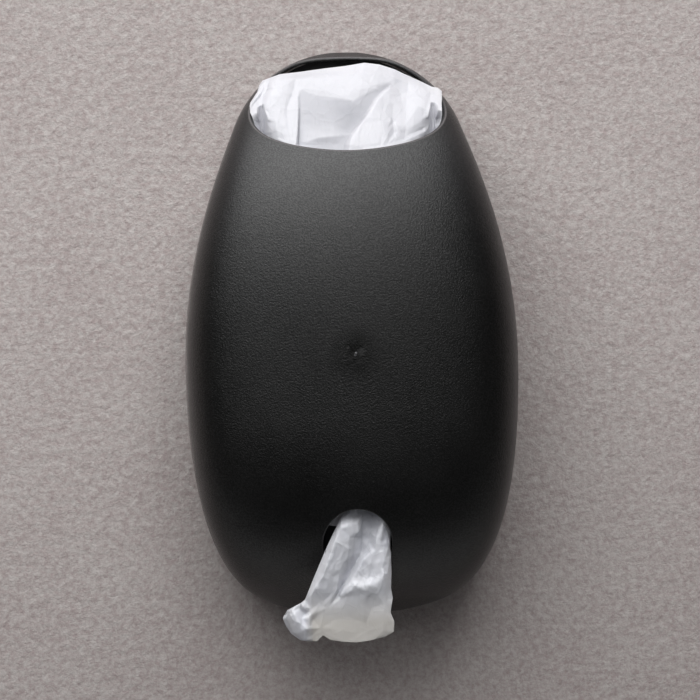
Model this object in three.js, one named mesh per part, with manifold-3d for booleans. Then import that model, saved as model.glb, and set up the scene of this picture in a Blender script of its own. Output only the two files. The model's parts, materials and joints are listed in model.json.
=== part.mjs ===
// Wall-mounted dispenser for used carrier bags. An egg-shaped plastic cover hangs on the hooks of a
// back plate that is screwed to the wall. Bags go in at the mouth and are pulled out at the slot.
// Millimetres. The origin is the middle of the back plate's rear face, on the wall. +Z is up, +X is
// to the right of someone who faces the wall, and the front looks along -Y.

import * as THREE from 'three';
import { ParametricGeometry } from 'three/addons/geometries/ParametricGeometry.js';
import { mergeVertices } from 'three/addons/utils/BufferGeometryUtils.js';
import Module from 'manifold-3d';

// Egg shape of the cover
const EGG_HEIGHT = 320;
const EGG_WIDTH = 187;
const EGG_DEPTH = 105;
const WIDEST_DROP = 17.3; // the widest level lies this far below the middle
const DEEPEST_DROP = 45; // and the deepest level this far

// Its outline on the wall: an arc over the crown, a curve down to the widest level, a curve below it
// and a flat arc under the toe
const CROWN_RADIUS = 68.4;
const CROWN_SWEEP = 68.8; // degrees of arc on each side
const SHOULDER_EASE = 27;
const UPPER_SIDE_EASE = 61.7;
const LOWER_SIDE_EASE = 119.8;
const TOE_EASE = 18;
const TOE_RADIUS = 138.6;
const TOE_SWEEP = 17.3;

// Its front, seen from the side
const BROW_REACH = 99.3;
const BROW_FALL = 29.1;
const UPPER_FRONT_EASE = 111;
const LOWER_FRONT_EASE = 70;
const CHIN_REACH = 84;

// Each level section has straight sides that round over into a gently curved front
const SIDE_POWER = 9.5;
const FRONT_POWER = 1.6;

// Cover
const COVER_WALL = 2.2;
const WALL_CLEARANCE = 0.5; // between the cover's rear edge and the wall
const MOUTH_RISE = 6; // the mouth's plane meets the wall this far above the crown
const MOUTH_TILT = 37.7; // degrees down towards the front
const SLOT_WIDTH = 39;
const SLOT_HEIGHT = 63; // from the toe to the top of the arch
const TOE_BAND = 12; // depth of the rim that runs on behind the slot

// Back plate
const PLATE = 3;
const PLATE_CLEARANCE = 0.6; // to the inside of the cover
const RIB_WIDTH = 2.4;
const RIB_RISE = 3;
const RIB_SPACING = 34;
const RIB_DROP = 94; // from the crown to the ribs' upper ends
const RIB_LENGTH = 118;

// Hooks of the plate and catches of the cover
const HOOK_DROP = 102; // from the crown to the upper hooks' seats
const HOOK_RISE = 88; // from the toe to the lower hooks' seats
const HOOK_INSET = 9; // from the inside of the cover to the middle of a hook
const HOOK_WIDTH = 10;
const HOOK_ARM = 3.5;
const HOOK_LIP = 3;
const HOOK_LIP_RISE = 8;
const CATCH_THICKNESS = 3.5;
const CATCH_HEIGHT = 9;
const CATCH_OVERHANG = 1.5; // past the inner end of the hook
const CATCH_CLEARANCE = 0.4;
const SEAT_GAP = 0.3;
const LIFT = 9.5; // the cover rises this far to come off its hooks

// Wall screws and plugs
const UPPER_SCREW_SPACING = 72;
const LOWER_SCREW_SPACING = 92;
const SCREW_INSET = 76; // from the crown to the upper screws and from the toe to the lower ones
const SHANK_RADIUS = 2.1;
const SCREW_LENGTH = 40;
const SCREW_TIP = 5;
const HEAD_RADIUS = 4.5;
const HEAD_HEIGHT = 2.8;
const HEAD_CROWN = 0.9;
const HEAD_FLAT_RADIUS = 2.5;
const HEAD_SHOULDER_RADIUS = 3.8;
const RECESS_WIDTH = 1;
const RECESS_LENGTH = 5;
const RECESS_DEPTH = 1.4;
const HOLE_CLEARANCE = 0.4;
const BOSS_RADIUS = 8;
const BOSS_RISE = 2;
const HEAD_GAP = 0.3;
const PLUG_LENGTH = 40;
const PLUG_WALL = 1.6;
const PLUG_CLEARANCE = 0.2; // between the shank and the plug
const PLUG_COLLAR = 1;
const PLUG_COLLAR_RADIUS = 5.2;
const PLUG_SETBACK = 0.3; // from the plate's rear face

// Bags
const BAG_CLEARANCE = 1; // to the inside of the cover
const BAG_STAND_OFF = 1.4; // in front of the hooks' lips
const BAG_GAP = 0.4; // between one bag and the next
const MOUTH_BAG_HEIGHT = 34; // how far it reaches down behind the front lip
const UPPER_BAG_HEIGHT = 44;
const MIDDLE_BAG_HEIGHT = 46;
const TOE_ROOM = 8; // under the lowest bags
const NECK_CLEARANCE = 1.6; // between the pulled bag and the slot's edges
const NECK_HEIGHT = 34; // above the slot's arch
const NECK_DEPTH = 50;
const NECK_LOWER_END = 12; // above the toe
const TAIL_THICKNESS = 11;
const TAIL_OFFSET = 2.5; // in front of the cover, where it lies over it
const TAIL_START = 22; // below the slot's arch
const TAIL_SPREAD = 41; // to the left of the centre line
const TAIL_DROP = 16.5; // below the toe
const TAIL_FLARE = 8; // how much the tail widens on its way down the slot
const TAIL_CORNER = 8; // height of the tail's lower left corner

// Fineness of the surfaces
const LEVELS = 34;
const SECTION_STEPS = 30;
const ROUND_STEPS = 24;

const wasm = await Module();
wasm.setup();

const top = EGG_HEIGHT / 2;
const toe = -EGG_HEIGHT / 2;
const radians = THREE.MathUtils.degToRad;
const point = (x, y) => new THREE.Vector2(x, y);

// Solids

// A closed geometry as a solid, without the triangles that shrink to a line at a pole.
function solidOf(geometry) {
  const bare = geometry.clone();
  bare.deleteAttribute('normal');
  bare.deleteAttribute('uv');
  const merged = mergeVertices(bare, 1e-4);
  const index = merged.index.array;
  const triangles = [];
  for (let i = 0; i < index.length; i += 3) {
    const [a, b, c] = [index[i], index[i + 1], index[i + 2]];
    if (a !== b && b !== c && c !== a) {
      triangles.push(a, b, c);
    }
  }
  return new wasm.Manifold(new wasm.Mesh({
    numProp: 3,
    vertProperties: new Float32Array(merged.attributes.position.array),
    triVerts: new Uint32Array(triangles),
  }));
}

function geometryOf(solid) {
  const mesh = solid.getMesh();
  const geometry = new THREE.BufferGeometry();
  geometry.setAttribute('position', new THREE.BufferAttribute(mesh.vertProperties, 3));
  geometry.setIndex(new THREE.BufferAttribute(mesh.triVerts, 1));
  geometry.computeVertexNormals();
  return geometry;
}

// A block between two corners.
function block(low, high) {
  const size = high.map((value, i) => value - low[i]);
  const geometry = new THREE.BoxGeometry(...size);
  geometry.translate(...high.map((value, i) => (value + low[i]) / 2));
  return solidOf(geometry);
}

// A flat outline given as (to the right, up), reaching from one depth to another.
function extrudedForwards(outline, nearDepth, farDepth) {
  const geometry = new THREE.ExtrudeGeometry(outline, {
    depth: farDepth - nearDepth,
    bevelEnabled: false,
    curveSegments: ROUND_STEPS / 2,
  });
  geometry.translate(0, 0, nearDepth);
  geometry.rotateX(Math.PI / 2);
  return solidOf(geometry);
}

// A side outline given as (depth, up), with its width along X about a middle.
function extrudedAcross(outline, middle, width) {
  const geometry = new THREE.ExtrudeGeometry(outline, { depth: width, bevelEnabled: false });
  geometry.translate(0, 0, -width / 2);
  const axes = new THREE.Matrix4().makeBasis(
    new THREE.Vector3(0, -1, 0),
    new THREE.Vector3(0, 0, 1),
    new THREE.Vector3(-1, 0, 0),
  );
  geometry.applyMatrix4(axes);
  geometry.translate(middle, 0, 0);
  return solidOf(geometry);
}

// A turned piece whose profile is given as (radius, distance into the wall), about a line along Y.
function turned(profile, x, z) {
  const geometry = new THREE.LatheGeometry(profile, ROUND_STEPS);
  geometry.translate(x, 0, z);
  return solidOf(geometry);
}

// Egg shape

const side = EGG_WIDTH / 2;
const crownArc = new THREE.EllipseCurve(
  0, top - CROWN_RADIUS, CROWN_RADIUS, CROWN_RADIUS,
  Math.PI / 2, Math.PI / 2 - radians(CROWN_SWEEP), true,
);
const toeArc = new THREE.EllipseCurve(
  0, toe + TOE_RADIUS, TOE_RADIUS, TOE_RADIUS,
  -Math.PI / 2 + radians(TOE_SWEEP), -Math.PI / 2, true,
);
const crownEnd = crownArc.getPoint(1);
const toeStart = toeArc.getPoint(0);
const crownAim = point(Math.cos(radians(CROWN_SWEEP)), -Math.sin(radians(CROWN_SWEEP)));
const toeAim = point(Math.cos(radians(TOE_SWEEP)), Math.sin(radians(TOE_SWEEP)));
const outlineCurves = [
  crownArc,
  new THREE.CubicBezierCurve(
    crownEnd,
    crownEnd.clone().addScaledVector(crownAim, SHOULDER_EASE),
    point(side, -WIDEST_DROP + UPPER_SIDE_EASE),
    point(side, -WIDEST_DROP),
  ),
  new THREE.CubicBezierCurve(
    point(side, -WIDEST_DROP),
    point(side, -WIDEST_DROP - LOWER_SIDE_EASE),
    toeStart.clone().addScaledVector(toeAim, TOE_EASE),
    toeStart,
  ),
  toeArc,
];
const frontCurves = [
  new THREE.CubicBezierCurve(
    point(0, top),
    point(BROW_REACH, top - BROW_FALL),
    point(EGG_DEPTH, -DEEPEST_DROP + UPPER_FRONT_EASE),
    point(EGG_DEPTH, -DEEPEST_DROP),
  ),
  new THREE.CubicBezierCurve(
    point(EGG_DEPTH, -DEEPEST_DROP),
    point(EGG_DEPTH, -DEEPEST_DROP - LOWER_FRONT_EASE),
    point(CHIN_REACH, toe),
    point(0, toe),
  ),
];

// How far falling curves lie from the axis at a level.
function reachAt(curves, level) {
  const curve = curves.find((each) => each.getPoint(1).y <= level) ?? curves[curves.length - 1];
  let before = 0;
  let after = 1;
  for (let step = 0; step < 40; step += 1) {
    const middle = (before + after) / 2;
    if (curve.getPoint(middle).y > level) {
      before = middle;
    } else {
      after = middle;
    }
  }
  return curve.getPoint(after).x;
}

// How much the egg shrinks when it is drawn in from its surface by an inset.
function scaleFor(inset) {
  return {
    x: (side - inset) / side,
    depth: (EGG_DEPTH - inset) / EGG_DEPTH,
    z: (top - inset) / top,
  };
}

function sideAt(level, inset) {
  const scale = scaleFor(inset);
  return reachAt(outlineCurves, level / scale.z) * scale.x;
}

function frontAt(level, inset) {
  const scale = scaleFor(inset);
  return reachAt(frontCurves, level / scale.z) * scale.depth;
}

// The surface's depth at a level and at a distance from the centre line.
function depthAt(level, across, inset) {
  const share = (across / sideAt(level, inset)) ** FRONT_POWER;
  return frontAt(level, inset) * (1 - share) ** (1 / SIDE_POWER);
}

// A point of the level section as (across, depth), at an angle from the right side round the front.
function sectionPoint(width, depth, angle) {
  const across = Math.sign(Math.cos(angle)) * Math.abs(Math.cos(angle)) ** (2 / FRONT_POWER);
  const forward = Math.max(0, Math.sin(angle)) ** (2 / SIDE_POWER);
  return [width * across, depth * forward];
}

// The egg drawn in from its surface by an inset. Its rear face lies at a distance behind the wall
// plane, or in front of it where that is below zero.
function egg(inset, rear) {
  const last = SECTION_STEPS + 3;
  const rows = [];
  for (let row = 0; row <= LEVELS; row += 1) {
    const level = Math.cos((Math.PI * row) / LEVELS) * (top - inset);
    const pole = row === 0 || row === LEVELS;
    rows.push({
      level,
      width: pole ? 0 : sideAt(level, inset),
      depth: pole ? 0 : frontAt(level, inset),
    });
  }
  const surface = (u, v, target) => {
    const { level, width, depth } = rows[Math.round(v * LEVELS)];
    const step = Math.round(u * last) % last;
    if (step === 0 || step === last - 1) {
      target.set(step === 0 ? width : -width, rear, level);
      return;
    }
    const angle = (Math.PI * (step - 1)) / SECTION_STEPS;
    const [x, forward] = sectionPoint(width, depth, angle);
    target.set(x, Math.min(rear, -forward), level);
  };
  return solidOf(new ParametricGeometry(surface, last, LEVELS));
}

// Mouth and slot

const mouthSlope = Math.tan(radians(MOUTH_TILT));
const mouthLevelAtWall = top + MOUTH_RISE;

function aboveMouth() {
  const reach = 2 * EGG_HEIGHT;
  const geometry = new THREE.BoxGeometry(reach, reach, reach);
  geometry.translate(0, 0, reach / 2);
  geometry.rotateX(radians(MOUTH_TILT));
  geometry.translate(0, 0, mouthLevelAtWall);
  return solidOf(geometry);
}

// The depth at which the mouth's plane leaves the front of the egg drawn in by an inset.
function lipDepth(inset) {
  let inside = 0;
  let outside = EGG_DEPTH;
  for (let step = 0; step < 40; step += 1) {
    const depth = (inside + outside) / 2;
    if (depth < frontAt(mouthLevelAtWall - mouthSlope * depth, inset)) {
      inside = depth;
    } else {
      outside = depth;
    }
  }
  return inside;
}

// The mouth's edge seen from above, as (across, depth), from the crown round the lip and back.
function mouthPlan(inset) {
  const rear = (mouthLevelAtWall - (top - inset)) / mouthSlope;
  const reach = lipDepth(inset) - rear;
  const right = [];
  for (let step = 1; step < SECTION_STEPS; step += 1) {
    const depth = rear + (reach * (1 - Math.cos((Math.PI * step) / SECTION_STEPS))) / 2;
    const level = mouthLevelAtWall - mouthSlope * depth;
    const share = Math.min(1, depth / frontAt(level, inset)) ** SIDE_POWER;
    right.push([sideAt(level, inset) * (1 - share) ** (1 / FRONT_POWER), depth]);
  }
  const left = right.map(([x, depth]) => [-x, depth]).reverse();
  return [[0, rear], ...right, [0, rear + reach], ...left];
}

const lipLevel = mouthLevelAtWall - mouthSlope * lipDepth(0);
const archRadius = SLOT_WIDTH / 2;
const archTop = toe + SLOT_HEIGHT;

function slotOutline() {
  const outline = new THREE.Shape();
  outline.moveTo(-archRadius, toe - COVER_WALL);
  outline.lineTo(archRadius, toe - COVER_WALL);
  outline.lineTo(archRadius, archTop - archRadius);
  outline.absarc(0, archTop - archRadius, archRadius, 0, Math.PI, false);
  return outline;
}

// Hooks and catches

const hookLipDepth = PLATE + CATCH_CLEARANCE + CATCH_THICKNESS + CATCH_CLEARANCE;
const hookFront = hookLipDepth + HOOK_LIP;
const hookSeats = [top - HOOK_DROP, toe + HOOK_RISE];
const hookMiddle = (seat) => sideAt(seat, COVER_WALL) - HOOK_INSET;

function hook(seat, sign) {
  const outline = new THREE.Shape();
  outline.moveTo(PLATE / 2, seat);
  outline.lineTo(PLATE / 2, seat - HOOK_ARM - hookFront / 2);
  outline.lineTo(PLATE, seat - HOOK_ARM - hookFront / 2);
  outline.lineTo(hookFront, seat - HOOK_ARM);
  outline.lineTo(hookFront, seat + HOOK_LIP_RISE - HOOK_LIP / 2);
  outline.lineTo(hookFront - HOOK_LIP / 2, seat + HOOK_LIP_RISE);
  outline.lineTo(hookLipDepth, seat + HOOK_LIP_RISE);
  outline.lineTo(hookLipDepth, seat);
  return extrudedAcross(outline, sign * hookMiddle(seat), HOOK_WIDTH);
}

// A bar across the hook's seat that runs out into the cover's side.
function catchBar(seat, sign) {
  const inner = hookMiddle(seat) - HOOK_WIDTH / 2 - CATCH_OVERHANG;
  const depth = PLATE + CATCH_CLEARANCE;
  const ends = [sign * inner, sign * side];
  return block(
    [Math.min(...ends), -(depth + CATCH_THICKNESS), seat + SEAT_GAP],
    [Math.max(...ends), -depth, seat + SEAT_GAP + CATCH_HEIGHT],
  ).intersect(egg(COVER_WALL / 2, -WALL_CLEARANCE));
}

const bothSides = [['right', 1], ['left', -1]];

function coverShell() {
  let shell = egg(0, -WALL_CLEARANCE).subtract(egg(COVER_WALL, COVER_WALL));
  for (const seat of hookSeats) {
    for (const [, sign] of bothSides) {
      shell = shell.add(catchBar(seat, sign));
    }
  }
  return shell
    .subtract(aboveMouth())
    .subtract(extrudedForwards(slotOutline(), TOE_BAND, EGG_DEPTH + COVER_WALL));
}

// Back plate

const screwRows = [
  ['upper', UPPER_SCREW_SPACING, top - SCREW_INSET],
  ['lower', LOWER_SCREW_SPACING, toe + SCREW_INSET],
];
const screwPlaces = screwRows.flatMap(([row, spacing, z]) => (
  bothSides.map(([name, sign]) => ({ name: `${row}_${name}`, x: (sign * spacing) / 2, z }))
));
const padDepth = PLATE + BOSS_RISE;

// The plate fills the inside of the cover at rest and also once the cover is lifted off its hooks.
function backPlate() {
  const inset = COVER_WALL + PLATE_CLEARANCE;
  const slab = block([-side, -PLATE, toe], [side, 0, top]);
  const blank = egg(inset, 0).intersect(slab);
  let plate = blank.intersect(blank.translate([0, 0, LIFT]));
  for (const sign of [-1, 1]) {
    const middle = (sign * RIB_SPACING) / 2;
    plate = plate.add(block(
      [middle - RIB_WIDTH / 2, -(PLATE + RIB_RISE), top - RIB_DROP - RIB_LENGTH],
      [middle + RIB_WIDTH / 2, -PLATE / 2, top - RIB_DROP],
    ));
  }
  for (const seat of hookSeats) {
    for (const [, sign] of bothSides) {
      plate = plate.add(hook(seat, sign));
    }
  }
  for (const { x, z } of screwPlaces) {
    const boss = [
      point(0, -padDepth),
      point(BOSS_RADIUS - BOSS_RISE / 2, -padDepth),
      point(BOSS_RADIUS, -PLATE - BOSS_RISE / 2),
      point(BOSS_RADIUS, -PLATE / 2),
      point(0, -PLATE / 2),
    ];
    plate = plate.add(turned(boss, x, z));
  }
  for (const { x, z } of screwPlaces) {
    const radius = SHANK_RADIUS + HOLE_CLEARANCE;
    const hole = [
      point(0, -padDepth - BOSS_RISE),
      point(radius, -padDepth - BOSS_RISE),
      point(radius, PLATE),
      point(0, PLATE),
    ];
    plate = plate.subtract(turned(hole, x, z));
  }
  return plate;
}

// Screws and plugs

const headSeat = -(padDepth + HEAD_GAP);

function screw(x, z) {
  const end = headSeat + SCREW_LENGTH;
  const profile = [
    point(0, headSeat - HEAD_HEIGHT),
    point(HEAD_FLAT_RADIUS, headSeat - HEAD_HEIGHT),
    point(HEAD_SHOULDER_RADIUS, headSeat - HEAD_HEIGHT + HEAD_CROWN / 2),
    point(HEAD_RADIUS, headSeat - HEAD_CROWN),
    point(HEAD_RADIUS, headSeat),
    point(SHANK_RADIUS, headSeat),
    point(SHANK_RADIUS, end - SCREW_TIP),
    point(0, end),
  ];
  let solid = turned(profile, x, z);
  const front = headSeat - HEAD_HEIGHT;
  for (const [across, up] of [[RECESS_LENGTH, RECESS_WIDTH], [RECESS_WIDTH, RECESS_LENGTH]]) {
    solid = solid.subtract(block(
      [x - across / 2, front - RECESS_DEPTH, z - up / 2],
      [x + across / 2, front + RECESS_DEPTH, z + up / 2],
    ));
  }
  return solid;
}

function plug(x, z) {
  const bore = SHANK_RADIUS + PLUG_CLEARANCE;
  const outside = bore + PLUG_WALL;
  const start = PLUG_SETBACK;
  const end = start + PLUG_LENGTH;
  return turned([
    point(bore, start),
    point(PLUG_COLLAR_RADIUS, start),
    point(PLUG_COLLAR_RADIUS, start + PLUG_COLLAR),
    point(outside, start + 2 * PLUG_COLLAR),
    point(outside, end - PLUG_WALL),
    point(bore, end),
    point(0, end),
    point(0, end - PLUG_WALL),
    point(bore, end - PLUG_WALL),
    point(bore, start),
  ], x, z);
}

// Bags

const bagRear = hookFront + BAG_STAND_OFF;
const bagInset = COVER_WALL + BAG_CLEARANCE;
const neckHalf = archRadius - NECK_CLEARANCE;
const mouthBagFoot = lipLevel - MOUTH_BAG_HEIGHT;
const upperBagFoot = mouthBagFoot - BAG_GAP - UPPER_BAG_HEIGHT;
const middleBagFoot = upperBagFoot - BAG_GAP - MIDDLE_BAG_HEIGHT;

// The part of the cover's inside that lies between two levels, in front of the hooks.
function bagSlice(foot, head, left, right) {
  return egg(bagInset, 0).intersect(block([left, -EGG_DEPTH, foot], [right, -bagRear, head]));
}

// It bulges over the mouth like the egg itself, and its sides are upright below the mouth's edge.
function mouthBag() {
  const outline = new THREE.Shape(mouthPlan(bagInset).map(([x, depth]) => point(x, -depth)));
  const height = top - mouthBagFoot;
  const geometry = new THREE.ExtrudeGeometry(outline, { depth: height, bevelEnabled: false });
  geometry.translate(0, 0, mouthBagFoot);
  return bagSlice(mouthBagFoot, top, -side, side).intersect(solidOf(geometry));
}

// The neck clears the cover's front where the arch comes down to the neck's edges.
const archFoot = archTop - archRadius + Math.sqrt(archRadius ** 2 - neckHalf ** 2);
const archFront = depthAt(archFoot, neckHalf, COVER_WALL) - BAG_CLEARANCE;

// The bag that is being drawn out: a neck inside the slot and a tail over the cover's lower front.
function pulledBag() {
  const neckRear = archFront - NECK_DEPTH;
  const neck = new THREE.Shape([
    point(neckRear + NECK_DEPTH / 4, archTop + NECK_HEIGHT),
    point(archFront - NECK_DEPTH / 5, archTop + NECK_HEIGHT),
    point(archFront, archTop + NECK_HEIGHT / 2),
    point(archFront, toe + SLOT_HEIGHT / 2),
    point(archFront - NECK_DEPTH / 3, toe + NECK_LOWER_END),
    point(neckRear + NECK_DEPTH / 4, toe + NECK_LOWER_END),
    point(neckRear, toe + SLOT_HEIGHT / 2),
    point(neckRear, archTop + NECK_HEIGHT / 2),
  ]);
  const start = archTop - TAIL_START;
  const foot = toe - TAIL_DROP;
  const tail = new THREE.Shape();
  tail.moveTo(neckHalf, start);
  tail.lineTo(0, start);
  tail.quadraticCurveTo(-neckHalf, start - neckHalf / 2, -neckHalf, start - neckHalf);
  tail.quadraticCurveTo(-neckHalf - TAIL_FLARE, toe + neckHalf, -TAIL_SPREAD, toe);
  tail.lineTo(-TAIL_SPREAD, foot + TAIL_CORNER);
  tail.quadraticCurveTo(-neckHalf - TAIL_FLARE, foot + TAIL_CORNER, -neckHalf, foot);
  tail.lineTo(neckHalf, foot);
  const rear = frontAt(start - neckHalf, 0) + TAIL_OFFSET;
  return extrudedAcross(neck, 0, 2 * neckHalf).add(extrudedForwards(tail, rear, rear + TAIL_THICKNESS));
}

// Assembly

const blackPlastic = { color: 0x1d1d1c, roughness: 0.5, metalness: 0 };
const zincSteel = { color: 0xb4b6b8, roughness: 0.35, metalness: 1 };
const greyNylon = { color: 0x9a9c9e, roughness: 0.6, metalness: 0 };
const whiteFilm = { color: 0xeeeef2, roughness: 0.4, metalness: 0 };

const dispenser = new THREE.Group();

function place(name, solid, look) {
  const mesh = new THREE.Mesh(geometryOf(solid), new THREE.MeshStandardMaterial(look));
  mesh.name = name;
  dispenser.add(mesh);
}

place('cover_shell', coverShell(), blackPlastic);
place('back_plate', backPlate(), blackPlastic);
for (const { name, x, z } of screwPlaces) {
  place(`wall_screw_${name}`, screw(x, z), zincSteel);
  place(`wall_plug_${name}`, plug(x, z), greyNylon);
}
place('mouth_bag', mouthBag(), whiteFilm);
place('stored_bag_upper', bagSlice(upperBagFoot, mouthBagFoot - BAG_GAP, -side, side), whiteFilm);
place('stored_bag_middle', bagSlice(middleBagFoot, upperBagFoot - BAG_GAP, -side, side), whiteFilm);
const lowerHead = middleBagFoot - BAG_GAP;
const lowerFoot = toe + COVER_WALL + TOE_ROOM;
const beside = neckHalf + BAG_GAP;
place('stored_bag_lower_right', bagSlice(lowerFoot, lowerHead, beside, side), whiteFilm);
place('stored_bag_lower_left', bagSlice(lowerFoot, lowerHead, -side, -beside), whiteFilm);
place('pulled_bag', pulledBag(), whiteFilm);

export default dispenser;
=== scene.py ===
# Looks of a wall-mounted dispenser for used carrier bags: an egg-shaped grained cover with a
# slanting mouth and an arched slot, its back plate, and the thin white bags in it. Lengths are
# worked out in millimetres as (across, depth in front of the wall, height) and written to the
# meshes in metres.

import json
import math

import bmesh
import bpy
import numpy as np
from mathutils import Matrix, Vector
from mathutils.geometry import delaunay_2d_cdt

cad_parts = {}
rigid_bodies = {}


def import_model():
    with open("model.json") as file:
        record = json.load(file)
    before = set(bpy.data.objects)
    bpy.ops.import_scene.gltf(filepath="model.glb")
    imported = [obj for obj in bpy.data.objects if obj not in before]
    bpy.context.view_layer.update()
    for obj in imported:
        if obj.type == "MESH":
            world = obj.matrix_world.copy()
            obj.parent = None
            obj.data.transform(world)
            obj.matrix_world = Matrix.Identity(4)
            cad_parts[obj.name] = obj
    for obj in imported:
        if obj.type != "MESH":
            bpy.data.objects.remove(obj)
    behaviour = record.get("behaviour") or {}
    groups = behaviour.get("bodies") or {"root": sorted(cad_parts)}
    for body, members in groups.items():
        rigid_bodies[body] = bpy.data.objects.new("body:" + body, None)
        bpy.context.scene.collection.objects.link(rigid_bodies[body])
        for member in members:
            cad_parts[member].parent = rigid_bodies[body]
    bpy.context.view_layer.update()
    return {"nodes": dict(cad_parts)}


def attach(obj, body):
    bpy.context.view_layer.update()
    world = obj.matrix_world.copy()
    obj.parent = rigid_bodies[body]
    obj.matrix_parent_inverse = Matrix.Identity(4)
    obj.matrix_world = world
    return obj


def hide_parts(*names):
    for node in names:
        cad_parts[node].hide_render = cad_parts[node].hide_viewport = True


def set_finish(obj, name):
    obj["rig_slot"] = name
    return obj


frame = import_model()
MM = 0.001
scene = bpy.context.scene

# Camera: straight ahead, from a little to the left, and rolled by about a degree
CAMERA_DISTANCE = 2500.0
CAMERA_AZIMUTH = math.radians(-1.7)
CAMERA_ROLL = math.radians(-1.1)
AIM_X = 0.5
AIM_Z = -10.0
VIEW_WIDTH = 399.42  # what the picture spans at the camera's distance
SENSOR_WIDTH = 36.0

camera_data = bpy.data.cameras.new("camera")
camera_data.sensor_width = SENSOR_WIDTH
camera_data.lens = SENSOR_WIDTH * CAMERA_DISTANCE / VIEW_WIDTH
camera_data.clip_start = 0.1
camera_data.clip_end = 50
camera = bpy.data.objects.new("camera", camera_data)
scene.collection.objects.link(camera)
away = Vector((math.sin(CAMERA_AZIMUTH), -math.cos(CAMERA_AZIMUTH), 0.0))
camera.location = Vector((AIM_X, 0, AIM_Z)) * MM + away * CAMERA_DISTANCE * MM
camera.rotation_mode = "QUATERNION"
turn = Matrix.Rotation(CAMERA_ROLL, 4, away).to_quaternion()
camera.rotation_quaternion = turn @ (-away).to_track_quat("-Z", "Y")
scene.camera = camera

# Egg shape, as in the solid model
TOP = 160.0
SIDE = 93.5
WIDEST_LEVEL = -17.3
CROWN_RADIUS = 68.4
CROWN_SWEEP = math.radians(68.8)
SHOULDER_EASE = 27.0
UPPER_SIDE_EASE = 61.7
LOWER_SIDE_EASE = 119.8
TOE_EASE = 18.0
TOE_RADIUS = 138.6
TOE_SWEEP = math.radians(17.3)
DEEPEST = 105.0
DEEPEST_LEVEL = -45.0
BROW = (99.3, TOP - 29.1)
UPPER_FRONT_EASE = 111.0
LOWER_FRONT_EASE = 70.0
CHIN_REACH = 84.0
SIDE_POWER = 9.5
FRONT_POWER = 1.6
FRONT_EASE = 0.10  # rounds the section off at the centre line
DRAFT = 0.015  # how much the sides lean in, over the whole depth
WALL = 2.2
REAR = 0.5  # from the wall to the cover's rear edge
MOUTH_TILT = math.radians(37.7)
MOUTH_LEVEL = TOP + 6.0  # where the mouth's plane meets the wall
SLOT_HALF = 19.0
SLOT_TOP = -97.9
SLOT_CORNER = 4.0  # radius of the two corners over the toe band
TOE_BAND = 12.0


def bezier(points, count=4000):
    t = np.linspace(0, 1, count)[:, None]
    a, b, c, d = (np.array(p, float) for p in points)
    return (1 - t) ** 3 * a + 3 * (1 - t) ** 2 * t * b + 3 * (1 - t) * t * t * c + t**3 * d


def arc(radius, sweep, middle, upper):
    angle = np.linspace(0, sweep, 4000)
    rise = np.cos(angle) if upper else -np.cos(angle)
    return np.stack([radius * np.sin(angle), middle + radius * rise], 1)


def outline_table():
    """The outline's right half on the wall as (across, height), from the toe to the crown."""
    crown = arc(CROWN_RADIUS, CROWN_SWEEP, TOP - CROWN_RADIUS, True)
    toe = arc(TOE_RADIUS, TOE_SWEEP, TOE_RADIUS - TOP, False)
    shoulder = SHOULDER_EASE * np.array([math.cos(CROWN_SWEEP), -math.sin(CROWN_SWEEP)])
    corner = TOE_EASE * np.array([math.cos(TOE_SWEEP), math.sin(TOE_SWEEP)])
    widest = (SIDE, WIDEST_LEVEL)
    above = (SIDE, WIDEST_LEVEL + UPPER_SIDE_EASE)
    below = (SIDE, WIDEST_LEVEL - LOWER_SIDE_EASE)
    upper = bezier([crown[-1], crown[-1] + shoulder, above, widest])
    lower = bezier([widest, below, toe[-1] + corner, toe[-1]])
    return np.vstack([crown, upper, lower, toe[::-1]])[::-1]


def front_table():
    """The front seen from the side as (depth, height), from the toe to the crown."""
    furthest = (DEEPEST, DEEPEST_LEVEL)
    above = (DEEPEST, DEEPEST_LEVEL + UPPER_FRONT_EASE)
    below = (DEEPEST, DEEPEST_LEVEL - LOWER_FRONT_EASE)
    upper = bezier([(0, TOP), BROW, above, furthest], 8000)
    lower = bezier([furthest, below, (CHIN_REACH, -TOP), (0, -TOP)], 8000)
    return np.vstack([upper, lower])[::-1]


OUTLINE = outline_table()
FRONT = front_table()


def side_at(z):
    return np.interp(z, OUTLINE[:, 1], OUTLINE[:, 0], left=0, right=0)


def front_at(z):
    return np.interp(z, FRONT[:, 1], FRONT[:, 0], left=0, right=0)


def field(x, depth, z, inset=0.0):
    """Below zero inside the egg drawn in by an inset, and above zero outside it."""
    x = np.abs(x) * SIDE / (SIDE - inset)
    depth = np.maximum(depth, 0) * DEEPEST / (DEEPEST - inset)
    z = z * TOP / (TOP - inset)
    beyond = np.maximum(np.abs(z) - TOP, 0)
    across = x / np.maximum(side_at(z) * (1 - DRAFT * depth / DEEPEST), 1e-3)
    low = FRONT_EASE**FRONT_POWER
    across = ((across**2 + FRONT_EASE**2) ** (FRONT_POWER / 2) - low) / (
        (1 + FRONT_EASE**2) ** (FRONT_POWER / 2) - low
    )
    return across + (depth / np.maximum(front_at(z), 1e-3)) ** SIDE_POWER - 1 + 1e3 * beyond


def unit(v):
    return v / np.maximum(np.linalg.norm(v, axis=-1, keepdims=True), 1e-12)


def egg_normals(points):
    """Outward directions of the egg at points given as (across, depth, height)."""
    step = 0.02
    slopes = []
    for shift in np.eye(3) * step:
        slopes.append(field(*(points + shift).T) - field(*(points - shift).T))
    return unit(np.stack(slopes, -1))


def length_along(line):
    """Length from a line's start to each of its points."""
    steps = np.linalg.norm(np.diff(line, axis=0), axis=1)
    return np.concatenate([[0], np.cumsum(steps)])


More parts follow.
